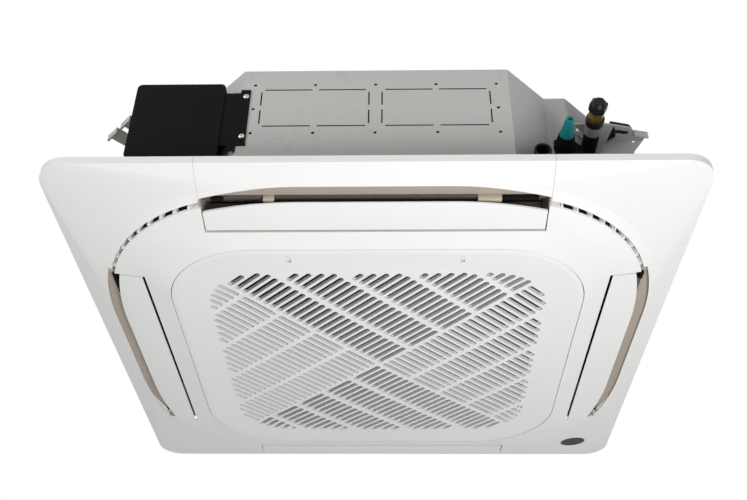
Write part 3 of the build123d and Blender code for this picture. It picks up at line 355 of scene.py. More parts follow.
@dataclass(frozen=True)
class Moulded(Finish):
    """Moulded plastic: a fine spark-eroded grain and a very slight cloudiness.

    grain is the size of the texture's features in millimetres, depth its relief, and
    cloud the share by which the colour drifts over the part.
    """

    grain: float = 0.8
    depth: float = 0.05
    cloud: float = 0.02
    coat: float = 0.0

    def dress(self, graph: SurfaceGraph) -> None:
        """Adds the cloudiness, the grain and the coat."""
        light, dark = tinted(self.colour, 1 + self.cloud), tinted(self.colour, 1 - self.cloud)
        graph.tone(graph.noise(9.0, 3.0), (0.3, dark), (0.7, light))
        grain = graph.noise(1 / (self.grain * MM), 2.0, Roughness=0.6)
        graph.roughen(grain, self.roughness, 0.05)
        graph.emboss(grain, 0.35, self.depth)
        graph.shader.inputs["Coat Weight"].default_value = self.coat
        graph.shader.inputs["Coat Roughness"].default_value = 0.15


@dataclass(frozen=True)
class ShadedDomeMoulding(Moulded):
    """Moulded plastic with painted shade: its slot walls darken towards the back of a domed face.

    lowest is the height of the face in its middle and dome its radius. clean, grey and dark
    are the depths behind the face where the painted shade on the walls starts, is a little
    darker and is as dark as it gets. All are in millimetres.
    """

    lowest: float = -60.0
    dome: float = 7059.0
    clean: float = 4.2
    grey: float = 5.9
    dark: float = 6.8
    reach: float = 10.0
    grey_share: Point = (0.80, 0.80, 0.79)
    dark_colour: Point = (0.012, 0.012, 0.012)

    def dress(self, graph: SurfaceGraph) -> None:
        """Adds the painted shade on the slot walls over the moulded finish."""
        super().dress(graph)
        colour = graph.shader.inputs["Base Color"].links[0].from_socket
        parts = graph.add("ShaderNodeSeparateXYZ", {0: graph.place})
        flat = graph.add("ShaderNodeCombineXYZ", {0: parts.outputs[0], 1: parts.outputs[1]}).outputs[0]
        square = graph.add("ShaderNodeVectorMath", {0: flat, 1: flat}, operation="DOT_PRODUCT")
        rise = {0: square.outputs["Value"], 1: -0.5 / (self.dome * MM), 2: -self.lowest * MM}
        bulge = graph.add("ShaderNodeMath", rise, operation="MULTIPLY_ADD").outputs[0]
        depth = graph.add("ShaderNodeMath", {0: parts.outputs[2], 1: bulge}, operation="ADD").outputs[0]
        limits = {"Value": depth, "From Min": 0.0, "From Max": self.reach * MM}
        share = graph.add("ShaderNodeMapRange", limits).outputs["Result"]
        # Painted shade: the walls' colour darkens with depth behind the domed face.
        ramp = graph.add("ShaderNodeValToRGB", {"Fac": share})
        steps = ramp.color_ramp.elements
        steps[0].position = self.clean / self.reach
        steps[0].color = (1.0, 1.0, 1.0, 1.0)
        steps[1].position = self.dark / self.reach
        steps[1].color = (*[d / c for d, c in zip(self.dark_colour, self.colour)], 1.0)
        steps.new(self.grey / self.reach).color = (*self.grey_share, 1.0)
        inputs = {0: 1.0, 6: colour, 7: ramp.outputs["Color"]}
        mixed = graph.add("ShaderNodeMix", inputs, data_type="RGBA", blend_type="MULTIPLY")
        graph.put(graph.shader.inputs["Base Color"], mixed.outputs[2])


@dataclass(frozen=True)
class Galvanised(Finish):
    """Zinc-coated sheet: flat crystal flakes that differ in tone and gloss, with rolling marks."""

    flake: float = 7.0
    metallic: float = 0.55

    def dress(self, graph: SurfaceGraph) -> None:
        """Adds the flakes and the rolling marks."""
        graph.shader.inputs["Metallic"].default_value = self.metallic
        warp = graph.add("ShaderNodeTexNoise", {"Vector": graph.place, "Scale": 90.0, "Detail": 2.0})
        inputs = {0: 0.012, 4: graph.place, 5: warp.outputs["Color"]}
        bent = graph.add("ShaderNodeMix", inputs, data_type="VECTOR").outputs[1]
        flakes = graph.add("ShaderNodeTexVoronoi", {"Vector": bent, "Scale": 1 / (self.flake * MM)})
        kinds = graph.add("ShaderNodeSeparateColor", {"Color": flakes.outputs["Color"]})
        both = {0: kinds.outputs[0], 1: graph.noise(6.0, 4.0)}
        share = graph.add("ShaderNodeMath", both, operation="ADD").outputs[0]
        graph.tone(share, (0.2, tinted(self.colour, 0.93)), (0.7, tinted(self.colour, 1.05)))
        graph.roughen(kinds.outputs[1], self.roughness, 0.07)
        marks = {"Vector": graph.place, "Scale": (1500.0, 1500.0, 25.0)}
        stretch = graph.add("ShaderNodeMapping", marks).outputs[0]
        rolled = graph.add("ShaderNodeTexNoise", {"Vector": stretch, "Scale": 1.0})
        graph.emboss(rolled.outputs["Fac"], 0.15, 0.03)


@dataclass(frozen=True)
class BareMetal(Finish):
    """Drawn or turned metal, with fine lines along one axis and slight tarnish."""

    along: int = 1
    tarnish: float = 0.12

    def dress(self, graph: SurfaceGraph) -> None:
        """Adds the lines and the tarnish."""
        graph.shader.inputs["Metallic"].default_value = 1.0
        scale = [2600.0, 2600.0, 2600.0]
        scale[self.along] = 60.0
        stretch = graph.add("ShaderNodeMapping", {"Vector": graph.place, "Scale": tuple(scale)}).outputs[0]
        lines = graph.add("ShaderNodeTexNoise", {"Vector": stretch, "Detail": 2.0}).outputs["Fac"]
        dull, clean = tinted(self.colour, 1 - self.tarnish), tinted(self.colour, 1.0)
        graph.tone(graph.noise(60.0, 5.0), (0.35, dull), (0.65, clean))
        graph.roughen(lines, self.roughness, 0.08)
        graph.emboss(lines, 0.2, 0.02)


@dataclass(frozen=True)
class Foamed(Finish):
    """Foam: beads or cells of one size that show in relief and a little in tone."""

    bead: float = 4.0
    depth: float = 0.5
    contrast: float = 0.06

    def dress(self, graph: SurfaceGraph) -> None:
        """Adds the cells."""
        inputs = {"Vector": graph.place, "Scale": 1 / (self.bead * MM)}
        cells = graph.add("ShaderNodeTexVoronoi", inputs).outputs["Distance"]
        light, dark = tinted(self.colour, 1 + self.contrast), tinted(self.colour, 1 - self.contrast)
        graph.tone(cells, (0.0, light), (0.75, dark))
        graph.emboss(cells, 0.5, -self.depth)


@dataclass(frozen=True)
class CircuitBoard(Finish):
    """Green lacquer over copper tracks and pads."""

    def dress(self, graph: SurfaceGraph) -> None:
        """Adds the tracks and the pads."""
        tones = {"Color1": 1.0, "Color2": 1.25, "Mortar": 2.2}
        inputs = {name: tinted(self.colour, factor) for name, factor in tones.items()}
        inputs |= {"Vector": graph.place, "Scale": 60.0, "Mortar Size": 0.03}
        tracks = graph.add("ShaderNodeTexBrick", inputs)
        pads = graph.add("ShaderNodeTexVoronoi", {"Vector": graph.place, "Scale": 220.0})
        near = {0: pads.outputs["Distance"], 1: 0.18}
        spot = graph.add("ShaderNodeMath", near, operation="LESS_THAN").outputs[0]
        inputs = {0: spot, 6: tracks.outputs["Color"], 7: (0.62, 0.6, 0.55, 1.0)}
        mixed = graph.add("ShaderNodeMix", inputs, data_type="RGBA")
        graph.put(graph.shader.inputs["Base Color"], mixed.outputs[2])


class Palette:
    """Every finish of the unit, made once."""

    def __init__(self) -> None:
        """Makes the materials."""
        white = (0.83, 0.83, 0.82)
        fine = {"grain": 0.9, "depth": 0.03, "cloud": 0.008}
        finishes = [
            Moulded("panel_white", white, 0.42, 0.35, **fine),
            # The grille's slot walls carry painted shade that darkens with depth behind the face.
            ShadedDomeMoulding("grille_white", (0.82, 0.82, 0.81), 0.42, 0.35, **fine),
            Moulded("vane_white", white, 0.40, 0.35, **fine),
            Moulded("latch_white", (0.80, 0.80, 0.79), 0.42, grain=0.7, depth=0.03),
            Moulded("badge_grey", (0.045, 0.045, 0.045), 0.34, 0.2, grain=0.5, depth=0.02, coat=0.05),
            Moulded("liner_beige", (0.40, 0.345, 0.295), 0.6, grain=1.4, depth=0.1, cloud=0.04),
            Moulded("block_beige", (0.50, 0.44, 0.33), 0.5, grain=1.0, depth=0.06, cloud=0.03),
            # Dark felt for the outlet shelf strips: its darkness is painted shade, not a seal's own colour.
            Foamed("felt_shade_grey", (0.105, 0.095, 0.088), 0.9, 0.1, bead=0.6, depth=0.2),
            Foamed("foam_dark", (0.009, 0.009, 0.009), 0.9, 0.08, bead=1.1, depth=0.3),
            Foamed("foam_white", (0.78, 0.78, 0.76), 0.75, bead=4.0, depth=0.5),
            Galvanised("galvanised", (0.51, 0.515, 0.495), 0.5, 0.25, metallic=0.03),
            BareMetal("screw_steel", (0.62, 0.61, 0.58), 0.3, along=2),
            Moulded("box_black", (0.007, 0.0065, 0.006), 0.5, 0.05, grain=0.9, depth=0.06, cloud=0.15),
            CircuitBoard("board_green", (0.02, 0.13, 0.05), 0.4),
            Moulded("terminal_beige", (0.60, 0.55, 0.44), 0.5),
            BareMetal("copper", (0.78, 0.42, 0.26), 0.34, along=1, tarnish=0.3),
            BareMetal("brass", (0.72, 0.48, 0.16), 0.28, along=1, tarnish=0.2),
            Moulded("cap_teal", (0.015, 0.24, 0.25), 0.35, 0.3, grain=1.0, depth=0.05, cloud=0.06),
            Moulded("cap_black", (0.010, 0.010, 0.011), 0.4, 0.15, grain=0.9, depth=0.05),
            Moulded("band_white", (0.22, 0.22, 0.22), 0.5, grain=0.8, depth=0.05, cloud=0.1),
            BareMetal("coil_aluminium", (0.74, 0.75, 0.77), 0.35, along=2),
            Moulded("fan_grey", (0.045, 0.048, 0.052), 0.5, 0.2, grain=1.2, depth=0.08),
            Moulded("pump_grey", (0.22, 0.23, 0.24), 0.5, grain=1.0, depth=0.06),
            Moulded("float_white", (0.75, 0.75, 0.74), 0.5),
            BareMetal("motor_steel", (0.42, 0.43, 0.44), 0.4, along=2),
            Foamed("mount_rubber", (0.02, 0.02, 0.02), 0.8, 0.15, bead=0.8, depth=0.05),
            Moulded("filter_grey", (0.010, 0.011, 0.012), 0.7, 0.1, grain=1.0, depth=0.05),
        ]
        self.materials = {finish.name: finish.make() for finish in finishes}

    def __getitem__(self, name: str) -> bpy.types.Material:
        """The material of that name."""
        return self.materials[name]


# ---- plan and lathe shapes -----------------------------------------------------------------------
def keep(piece: bpy.types.Object, body: str, slot: str, *nodes: str) -> bpy.types.Object:
    """Hands a finished piece to the frame.

    Args:
        piece: the object.
        body: the body that it moves with.
        slot: the material slot that it would take its finish from; not used.
        nodes: the model's nodes that it stands for.

    Returns:
        The same object.
    """
    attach(piece, body)
    if nodes:
        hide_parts(*nodes)
    log.info("made %s on %s, %d faces", piece.name, body, len(piece.data.polygons))
    return piece


def finished(name: str, form: bmesh.types.BMesh, finish: bpy.types.Material) -> bpy.types.Object:
    """Closes a form into an object with its faces pointing outwards.

    Args:
        name: the object's name.
        form: the shape, in metres.
        finish: its material.

    Returns:
        The object, smooth between its crisp edges.
    """
    bmesh.ops.remove_doubles(form, verts=form.verts, dist=1e-6)
    bmesh.ops.recalc_face_normals(form, faces=form.faces)
    mesh = bpy.data.meshes.new(name)
    form.to_mesh(mesh)
    form.free()
    made = link_mesh(name, mesh, finish)
    smooth(made)
    return made


def bevelled_box(form: bmesh.types.BMesh, low: Point, high: Point, edge: float, turn: Matrix) -> None:
    """Adds a box with bevelled edges.

    Args:
        form: the shape that it goes into.
        low: its lowest corner in millimetres.
        high: its highest corner.
        edge: width of the bevel in millimetres.
        turn: where it is turned to.
    """
    middle = Vector(((a + b) / 2 * MM for a, b in zip(low, high)))
    size = [(b - a) * MM for a, b in zip(low, high)]
    place = turn @ Matrix.Translation(middle) @ Matrix.Diagonal((*size, 1.0))
    made = bmesh.ops.create_cube(form, size=1.0, matrix=place)["verts"]
    edges = list({e for v in made for e in v.link_edges})
    bmesh.ops.bevel(
        form, geom=edges, offset=edge * MM, segments=2, affect="EDGES", profile=0.5, clamp_overlap=True
    )


def loft(form: bmesh.types.BMesh, rings: Sequence[Sequence[Point]]) -> None:
    """Joins rings of points, one after the other and the last to the first.

    Args:
        form: the shape that they go into.
        rings: equally long rings, in millimetres.
    """
    made = [[form.verts.new([value * MM for value in point]) for point in ring] for ring in rings]
    for a, b in zip(made, made[1:] + made[:1]):
        for index in range(len(a)):
            after = (index + 1) % len(a)
            form.faces.new((a[index], a[after], b[after], b[index]))


def lathe(form: bmesh.types.BMesh, outline: Sequence[tuple[float, float]], steps: int) -> None:
    """Turns a closed outline about Z.

    Args:
        form: the shape that it goes into.
        outline: (radius, height) points in millimetres, going round the section.
        steps: facets round the axis.
    """
    angles = [2 * math.pi * index / steps for index in range(steps)]
    loft(form, [[(r * math.cos(a), r * math.sin(a), z) for a in angles] for r, z in outline])


def rounded_path(half: float, corner: float, step: float) -> list[Point]:
    """Points round a square with rounded corners, at even steps.

    Args:
        half: half of its side.
        corner: the corner's radius.
        step: about how far apart the points are.

    Returns:
        (x, y, heading) for each point, starting in the middle of the near side.
    """
    straight = half - corner
    runs = [(straight, 0.0)]
    for _ in range(4):
        runs.append((corner * math.pi / 2, math.pi / 2))
        runs.append((2 * straight, 0.0))
    runs[-1] = (straight, 0.0)
    points = []
    x, y, heading = 0.0, -half, 0.0
    for length, bend in runs:
        count = max(1, round(length / step))
        for _ in range(count):
            points.append((x, y, heading))
            move = length / count
            half_turn = bend / count / 2
            chord = move if not bend else 2 * corner * math.sin(half_turn)
            x += chord * math.cos(heading + half_turn)
            y += chord * math.sin(heading + half_turn)
            heading += 2 * half_turn
    return points


def edges_mesh(name: str, runs: Iterable[Sequence[Point]]) -> bpy.types.Mesh:
    """A mesh of loose edges, or of loose points where a run has one point only.

    Args:
        name: its name.
        runs: the polylines, in millimetres.

    Returns:
        The mesh.
    """
    points: list[Point] = []
    edges: list[tuple[int, int]] = []
    for run in runs:
        first = len(points)
        points += [tuple(value * MM for value in point) for point in run]
        edges += [(i, i + 1) for i in range(first, len(points) - 1)]
    mesh = bpy.data.meshes.new(name)
    mesh.from_pydata(points, edges, [])
    return mesh


def tubes_tree(name: str, finish: bpy.types.Material, radius: float, sides: int) -> GeometryTree:
    """A tree that sweeps a circle along each edge.

    Args:
        name: the tree's name.
        finish: the tubes' material.
        radius: in millimetres.
        sides: facets round a tube.

    Returns:
        The tree.
    """
    tree = GeometryTree(name, finish)
    thick = tree.size("Radius", radius * MM)
    line = tree.add("GeometryNodeMeshToCurve", {0: tree.enter.outputs[0]}).outputs[0]
    ring = tree.add("GeometryNodeCurvePrimitiveCircle", {"Resolution": sides, "Radius": thick}).outputs[0]
    inputs = {"Curve": line, "Profile Curve": ring, "Fill Caps": True}
    tree.close(tree.add("GeometryNodeCurveToMesh", inputs).outputs[0])
    return tree


def bars_tree(name: str, finish: bpy.types.Material, wide: float, high: float) -> GeometryTree:
    """A tree that sweeps an upright rectangle along each edge.

    Args:
        name: the tree's name.
        finish: the bars' material.
        wide: width in millimetres.
        high: height in millimetres.

    Returns:
        The tree.
    """
    tree = GeometryTree(name, finish)
    across, tall = tree.size("Width", wide * MM), tree.size("Height", high * MM)
    line = tree.add("GeometryNodeMeshToCurve", {0: tree.enter.outputs[0]})
    level = tree.add("GeometryNodeSetCurveNormal", {"Curve": line.outputs[0]})
    level.mode = "Z_UP"
    section = tree.add("GeometryNodeCurvePrimitiveQuadrilateral", {"Width": across, "Height": tall})
    inputs = {"Curve": level.outputs[0], "Profile Curve": section.outputs[0], "Fill Caps": True}
    tree.close(tree.add("GeometryNodeCurveToMesh", inputs).outputs[0])
    return tree


# ---- the intake grille ---------------------------------------------------------------------------
@dataclass
class FilterNet:
    """The washable filter: two layers of fine strands welded in a rim with flat bars."""

    half: float = 296.0
    corner: float = 109.7
    low: float = -44.5
    high: float = -41.0
    rim: float = 9.0
    bar: float = 6.0
    cells: int = 6
    strand: float = 0.62
    pitch: float = 1.9

    def reach(self, at: float) -> float:
        """How far a strand reaches to each side at this distance from the middle."""
        half = self.half - self.rim / 2
        corner = self.corner - self.rim / 2
        past = max(abs(at) - (half - corner), 0.0)
        return (half - corner) + math.sqrt(max(corner**2 - past**2, 0.0))

    def lines(self, places: Iterable[float], level: float, along_x: bool) -> list[list[Point]]:
        """Straight runs across the filter.

        Args:
            places: how far from the middle each one lies.
            level: their height.
            along_x: whether they run along X.

        Returns:
            The runs.
        """
        runs = []
        for at in places:
            end = self.reach(at)
            ends = [(-end, at), (end, at)] if along_x else [(at, -end), (at, end)]
            runs.append([(x, y, level) for x, y in ends])
        return runs

    def strands(self, palette: Palette) -> bpy.types.Object:
        """The net's strands."""
        count = int((self.half - self.rim) / self.pitch)
        places = [index * self.pitch for index in range(-count, count + 1)]
        lower = self.low + self.strand / 2 + 0.02
        upper = lower + self.strand * 0.7
        runs = self.lines(places, lower, True) + self.lines(places, upper, False)
        tree = tubes_tree("filter_strands", palette["filter_grey"], self.strand / 2, 5)
        return tree.bake("filter_net", edges_mesh("filter_lines", runs))

    def frame(self, palette: Palette) -> bpy.types.Object:
        """The rim with its rounded edges."""
        form = bmesh.new()
        low, high, rim = self.low, self.high, self.rim
        section = [
            (0.0, low + 0.5), (0.5, low), (rim - 0.6, low), (rim, low + 0.6),
            (rim, high - 0.8), (rim - 0.8, high), (0.9, high), (0.0, high - 0.9),
        ]
        path = rounded_path(self.half, self.corner, 9.0)
        loft(form, [[(x - i * math.sin(h), y + i * math.cos(h), z) for x, y, h in path] for i, z in section])
        return finished("filter_rim", form, palette["filter_grey"])

    def build(self, palette: Palette) -> None:
        """Builds the net, its bars and its rim."""
        keep(self.strands(palette), "grille", "filter_grey", "air_filter")
        pitch = 2 * self.half / self.cells
        places = [-self.half + index * pitch for index in range(1, self.cells)]
        tall = self.high - self.low - 0.9
        level = self.low + 0.2 + tall / 2
        runs = self.lines(places, level, True) + self.lines(places, level + 0.05, False)
        tree = bars_tree("filter_bars", palette["filter_grey"], self.bar, tall)
        keep(tree.bake("filter_bars", edges_mesh("filter_bar_lines", runs)), "grille", "filter_grey")
        keep(self.frame(palette), "grille", "filter_grey")


# ---- the air outlets -----------------------------------------------------------------------------
@dataclass
class OutletTrim:
    """What shows in each outlet round its vane: the throat's lining, its ledges, the shelf's blocks and
    pads, and dark felt strips on the shelf whose darkness is painted shade.
    """

    throat: float = 195.0
    ends: float = 247.5
    outer: float = 415.6
    inner: float = 362.2
    floor: float = 10.4
    ledge_top: float = 13.4
    top: float = 39.5
    wall: float = 1.1
    lap: float = 0.05
    # Dark felt strips laid where the shelf is only shaded: their dark colour is painted shade.
    shade_felts: tuple[Point, ...] = (
        (-214.0, -158.5, -24.0), (-141.5, 145.5, -24.0), (-246.0, -232.5, -24.0), (232.5, 246.0, -24.0),
    )
    blocks: tuple[Point, ...] = ((-158.0, -142.0, -31.0), (146.0, 180.0, -31.5))
    pads: tuple[Point, ...] = ((181.0, 232.0, -29.5), (-232.0, -215.0, -29.5))

    def lining(self, form: bmesh.types.BMesh, turn: Matrix) -> None:
        """The throat's four walls and the ledges at its ends."""
        x, y0, y1 = self.throat - 0.2, -self.outer, -self.inner
        z0, z1, t = self.floor, self.top, self.wall
        for sign in (-1, 1):
            a, b = sorted((sign * x, sign * (x - t)))
            bevelled_box(form, (a, y0, z0), (b, y1, z1), 0.3, turn)
            a, b = sorted((sign * x, sign * self.ends))
            bevelled_box(form, (a, y0, z0), (b, y1, self.ledge_top), 0.5, turn)
        lap = self.lap
        z0, z1, x = z0 + lap, z1 - lap, x - 2 * lap
        bevelled_box(form, (-x, y0 + lap, z0), (x, y0 + t, z1), 0.3, turn)
        bevelled_box(form, (-x, y1 - t, z0), (x, y1 - lap, z1), 0.3, turn)

    def build(self, palette: Palette) -> None:
        """Builds the linings, blocks, pads and the dark felt strips of painted shade of all four outlets."""
        lining, blocks, pads, shade_felts = (bmesh.new() for _ in range(4))
        rows = (
            (shade_felts, self.shade_felts, (-417.4, -409.0, -22.4), 0.3),
            (blocks, self.blocks, (-417.5, -409.5, -22.2), 1.2),
            (pads, self.pads, (-417.0, -410.5, -22.2), 1.5),
        )
        for side in Side:
            self.lining(lining, side.turn)
            for form, spans, (y0, y1, top), edge in rows:
                for x0, x1, low in spans:
                    bevelled_box(form, (x0, y0, low), (x1, y1, top), edge, side.turn)
        for name, form, finish, slot in (
            ("throat_linings", lining, "liner_beige", "liner_beige"),
            ("shelf_blocks", blocks, "block_beige", "liner_beige"),
            ("shelf_pads", pads, "foam_dark", "foam_dark"),
            # The felt strips are painted shade at the back of the shelf.
            ("shelf_felts", shade_felts, "felt_shade_grey", "foam_dark"),
        ):
            keep(finished(name, form, palette[finish]), "cassette", slot)


@dataclass
class KnockLines:
    """The cut lines round each wall's two knock-outs, as thin dark strips that paint the shade in the cuts'
    gaps.
    """

    wall: float = 420.0
    near: float = 10.0
    far: float = 175.0
    low: float = 109.0
    high: float = 185.0
    tab: float = 5.0
    half: float = 1.05
    proud: float = 0.07
    deep: float = 0.9

    def strips(self) -> list[tuple[float, float, float, float]]:
        """The strips of the right knock-out as (x0, x1, z0, z1)."""
        middle_x = (self.near + self.far) / 2
        middle_z = (self.low + self.high) / 2
        across = [(self.near + self.tab, middle_x - self.tab), (middle_x + self.tab, self.far - self.tab)]
        upright = [(self.low + self.tab, middle_z - self.tab), (middle_z + self.tab, self.high - self.tab)]
        result = [(a, b, z - self.half, z + self.half) for z in (self.low, self.high) for a, b in across]
        result += [(x - self.half, x + self.half, a, b) for x in (self.near, self.far) for a, b in upright]
        return result

    def build(self, palette: Palette) -> None:
        """Builds the strips of all four walls."""
        form = bmesh.new()
        front, back = -self.wall - self.proud, -self.wall + self.deep
        for side in Side:
            for sign in (-1, 1):
                for x0, x1, z0, z1 in self.strips():
                    low_x, high_x = sorted((sign * x0, sign * x1))
                    bevelled_box(form, (low_x, front, z0), (high_x, back, z1), 0.03, side.turn)
        # The dark finish on these strips is painted shade of the cut gaps.
        keep(finished("knock_lines", form, palette["foam_dark"]), "cassette", "foam_dark")


# ---- inside the cabinet --------------------------------------------------------------------------
@dataclass
class Coil:
    """The heat exchanger: thin upright fins threaded on bent copper tubes."""

    half: float = 311.0
    corner: float = 74.0
    depth: float = 42.0
    low: float = 28.3
    high: float = 214.0
    gap: float = 250.0
    spacing: float = 2.4
    thick: float = 0.35
    rows: int = 8
    tube: float = 4.0
    row_pitch: float = 16.0

    def stays(self, point: Point) -> bool:
        """Whether a point of the path is outside the open corner."""
        return not (point[0] > self.gap - 4 and point[1] < 4 - self.gap)

    def fins(self, palette: Palette) -> bpy.types.Object:
        """The fins, one for each step along the coil."""
        path = [p for p in rounded_path(self.half, self.corner, self.spacing) if self.stays(p)]
        middle = (self.low + self.high) / 2
        mesh = edges_mesh("fin_places", [[(x, y, middle)] for x, y, _ in path])
        store(mesh, "heading", [(0.0, 0.0, heading) for _, _, heading in path])
        tree = GeometryTree("coil_fins", palette["coil_aluminium"])
        sizes = (("Thickness", self.thick), ("Depth", self.depth), ("Height", self.high - self.low))
        inputs = {index: tree.size(label, value * MM) for index, (label, value) in enumerate(sizes)}
        size = tree.add("ShaderNodeCombineXYZ", inputs)
        plate = tree.add("GeometryNodeMeshCube", {"Size": size.outputs[0]})
        tree.copies(plate.outputs[0], "heading")
        return tree.bake("coil_fins", mesh)

    def tubes(self, palette: Palette) -> bpy.types.Object:
        """The copper tubes through the fins."""
        runs = []
        pitch = (self.high - self.low) / self.rows
        for offset in (-self.row_pitch / 2, self.row_pitch / 2):
            path = rounded_path(self.half + offset, self.corner + offset, 14.0)
            first = next(i for i, p in enumerate(path) if not self.stays(p))
            path = [p for p in path[first:] + path[:first] if self.stays(p)]
            for row in range(self.rows):
                level = self.low + pitch * (row + 0.5)
                runs.append([(x, y, level) for x, y, _ in path])
        tree = tubes_tree("coil_tubes", palette["copper"], self.tube, 10)
        return tree.bake("coil_tubes", edges_mesh("coil_lines", runs))

    def build(self, palette: Palette) -> None:
        """Builds the fins and the tubes."""
        keep(self.fins(palette), "cassette", "coil_aluminium", "heat_exchanger")
        tubes = self.tubes(palette)
        smooth(tubes)
        keep(tubes, "cassette", "copper")


@dataclass
class Rotor:
    """The turbo fan's wheel: a dished plate, a flared shroud and swept hollow-backed blades."""

    radius: float = 230.0
    eye: float = 156.0
    bottom: float = 46.0
    top: float = 168.0
    hub: float = 26.0
    bore: float = 6.05
    blades: int = 7
    sweep: float = 34.0
    thick: float = 7.0
    root: float = 160.0
    flare: float = 27.0
    facets: int = 96

    def plate(self, form: bmesh.types.BMesh) -> None:
        """The back plate with its hub."""
        top, low = self.top, self.top - 34
        outline = [
            (self.bore, low), (self.hub, low), (self.hub, top - 9), (self.hub + 5, top - 4),
            (self.hub + 12, top - 3), (self.radius - 1, top - 3), (self.radius, top - 2),
            (self.radius, top - 0.6), (self.radius - 1, top), (self.bore, top),
        ]
        lathe(form, outline, self.facets)

    def shroud(self, form: bmesh.types.BMesh) -> None:
        """The flared ring round the eye."""
        inner, outer = [], []
        for index in range(13):
            angle = math.pi / 2 * index / 12
            r = self.eye + (self.radius - self.eye) * (1 - math.cos(angle)) * 0.98
            z = self.bottom + self.flare * math.sin(angle)
            inner.append((r + 0.2, z + 1.3))
            outer.append((r + 2.6 * math.cos(angle) + 0.2, z - 1.3 * math.sin(angle)))
        lathe(form, outer + [(self.radius, self.bottom + self.flare + 1)] + inner[::-1], self.facets)

    def blade(self, form: bmesh.types.BMesh, turn: float) -> None:
        """One blade, a swept aerofoil between the plate and the shroud."""
        count = 14
        floors, ceilings = [], []
        outline = []
        for side in (1, -1):
            shares = range(count + 1) if side > 0 else range(count - 1, 0, -1)
            for index in shares:
                share = index / count
                radius = self.root + (self.radius - 4 - self.root) * share
                angle = turn + math.radians(self.sweep) * share**1.15
                half = side * self.thick / 2 * math.sin(math.pi * min(0.98, share * 0.9 + 0.06)) ** 0.7
                outline.append((radius, angle, half))
        for radius, angle, half in outline:
            lean = half / radius
            x, y = radius * math.cos(angle + lean), radius * math.sin(angle + lean)
            rise = min(1.0, ((radius - self.eye) / (self.radius - self.eye)) ** 0.5)
            floor = self.bottom + self.flare * rise
            floors.append(form.verts.new((x * MM, y * MM, (floor - 1) * MM)))
            ceilings.append(form.verts.new((x * MM, y * MM, (self.top - 1.5) * MM)))
        total = len(outline)
        for index in range(total):
            after = (index + 1) % total
            form.faces.new((floors[index], floors[after], ceilings[after], ceilings[index]))
        form.faces.new(floors[::-1])
        form.faces.new(ceilings)

    def build(self, palette: Palette) -> None:
        """Builds the wheel."""
        form = bmesh.new()
        self.plate(form)
        self.shroud(form)
        for index in range(self.blades):
            self.blade(form, 2 * math.pi * index / self.blades)
        keep(finished("fan_rotor", form, palette["fan_grey"]), "fan", "fan_grey", "fan_wheel")


# ---- screws --------------------------------------------------------------------------------------
@dataclass
class Screws:
    """Pan-head screws with a cross recess, wherever the model has a plain head."""

    radius: float = 4.5
    high: float = 2.5
    recess: float = 2.6
    slot: float = 0.95
    finish: str = "screw_steel"

    def head(self, finish: bpy.types.Material) -> bpy.types.Object:
        """One head, its top towards +Z and its middle at the origin."""
        form = bmesh.new()
        r, h = self.radius, self.high
        outline = [
            (0.01, -h / 2), (r, -h / 2), (r, -h / 2 + 0.7), (r * 0.93, h * 0.12),
            (r * 0.74, h * 0.36), (r * 0.45, h * 0.47), (0.01, h / 2),
        ]
        lathe(form, outline, 28)
        head = finished("head", form, finish)
        cutter = bmesh.new()
        for turn in (0, 90):
            place = Matrix.Rotation(math.radians(turn), 4, "Z")
            low, high = (-self.recess, -self.slot / 2, -0.2), (self.recess, self.slot / 2, h)
            bevelled_box(cutter, low, high, 0.12, place)
        tool = finished("tool", cutter, finish)
        cut = head.modifiers.new("recess", "BOOLEAN")
        cut.object = tool
        cut.solver = "EXACT"
        cut.use_self = True
        mesh = applied(head)
        head.modifiers.clear()
        head.data = mesh
        bpy.data.objects.remove(tool)
        smooth(head)
        return head

    @staticmethod
    def line(face: bmesh.types.BMFace) -> tuple[float, ...]:
        """The line that a face's normal lies on, the same for both ways along it."""
        way = tuple(round(value, 2) for value in face.normal)
        return tuple(-value for value in way) if way < (0.0, 0.0, 0.0) else way

    def places(self, node: bpy.types.Object) -> list[tuple[Vector, Vector]]:
        """The middle and outward direction of each head of a node.

        Args:
            node: the model's node, which is only read.

        Returns:
            One (middle, direction) for each head.
        """
        form = bmesh.new()
        form.from_mesh(node.data)
        bmesh.ops.remove_doubles(form, verts=form.verts, dist=1e-5)
        form.verts.index_update()
        form.faces.index_update()
        form.faces.ensure_lookup_table()
        seen: set[int] = set()
        found = []
        for start in form.verts:
            if start.index in seen:
                continue
            seen.add(start.index)
            island, front = [start], [start]
            while front:
                vertex = front.pop()
                for edge in vertex.link_edges:
                    other = edge.other_vert(vertex)
                    if other.index not in seen:
                        seen.add(other.index)
                        island.append(other)
                        front.append(other)
            faces = [form.faces[i] for i in sorted({f.index for v in island for f in v.link_faces})]
            areas: dict[tuple[float, ...], float] = {}
            for face in faces:
                areas[self.line(face)] = areas.get(self.line(face), 0.0) + face.calc_area()
            flat = max(areas, key=areas.__getitem__)
            axis = next(face.normal.copy() for face in faces if self.line(face) == flat)
            middle = sum((v.co for v in island), Vector()) / len(island)
            outward = Vector((middle.x, middle.y, 0.0))
            found.append((middle, axis if axis.dot(outward) > 0 else -axis))
        form.free()
        return found

    def build(self, frame: dict, palette: Palette, node: str, name: str) -> None:
        """Puts a head in each place of a node.

        Args:
            palette: the finishes.
            node: the node that the heads stand for.
            name: the new piece's name.
        """
        places = self.places(frame["nodes"][node])
        mesh = edges_mesh(name, [[tuple(middle / MM)] for middle, _ in places])
        turns = [direction.to_track_quat("Z", "Y").to_euler() for _, direction in places]
        store(mesh, "turn", [tuple(turn) for turn in turns])
        head = self.head(palette[self.finish])
        tree = GeometryTree(name, palette[self.finish])
        source = tree.add("GeometryNodeObjectInfo", {"Object": head})
        tree.copies(source.outputs["Geometry"], "turn")
        piece = tree.bake(name, mesh)
        bpy.data.objects.remove(head)
        smooth(piece)
        keep(piece, "cassette", self.finish, node)


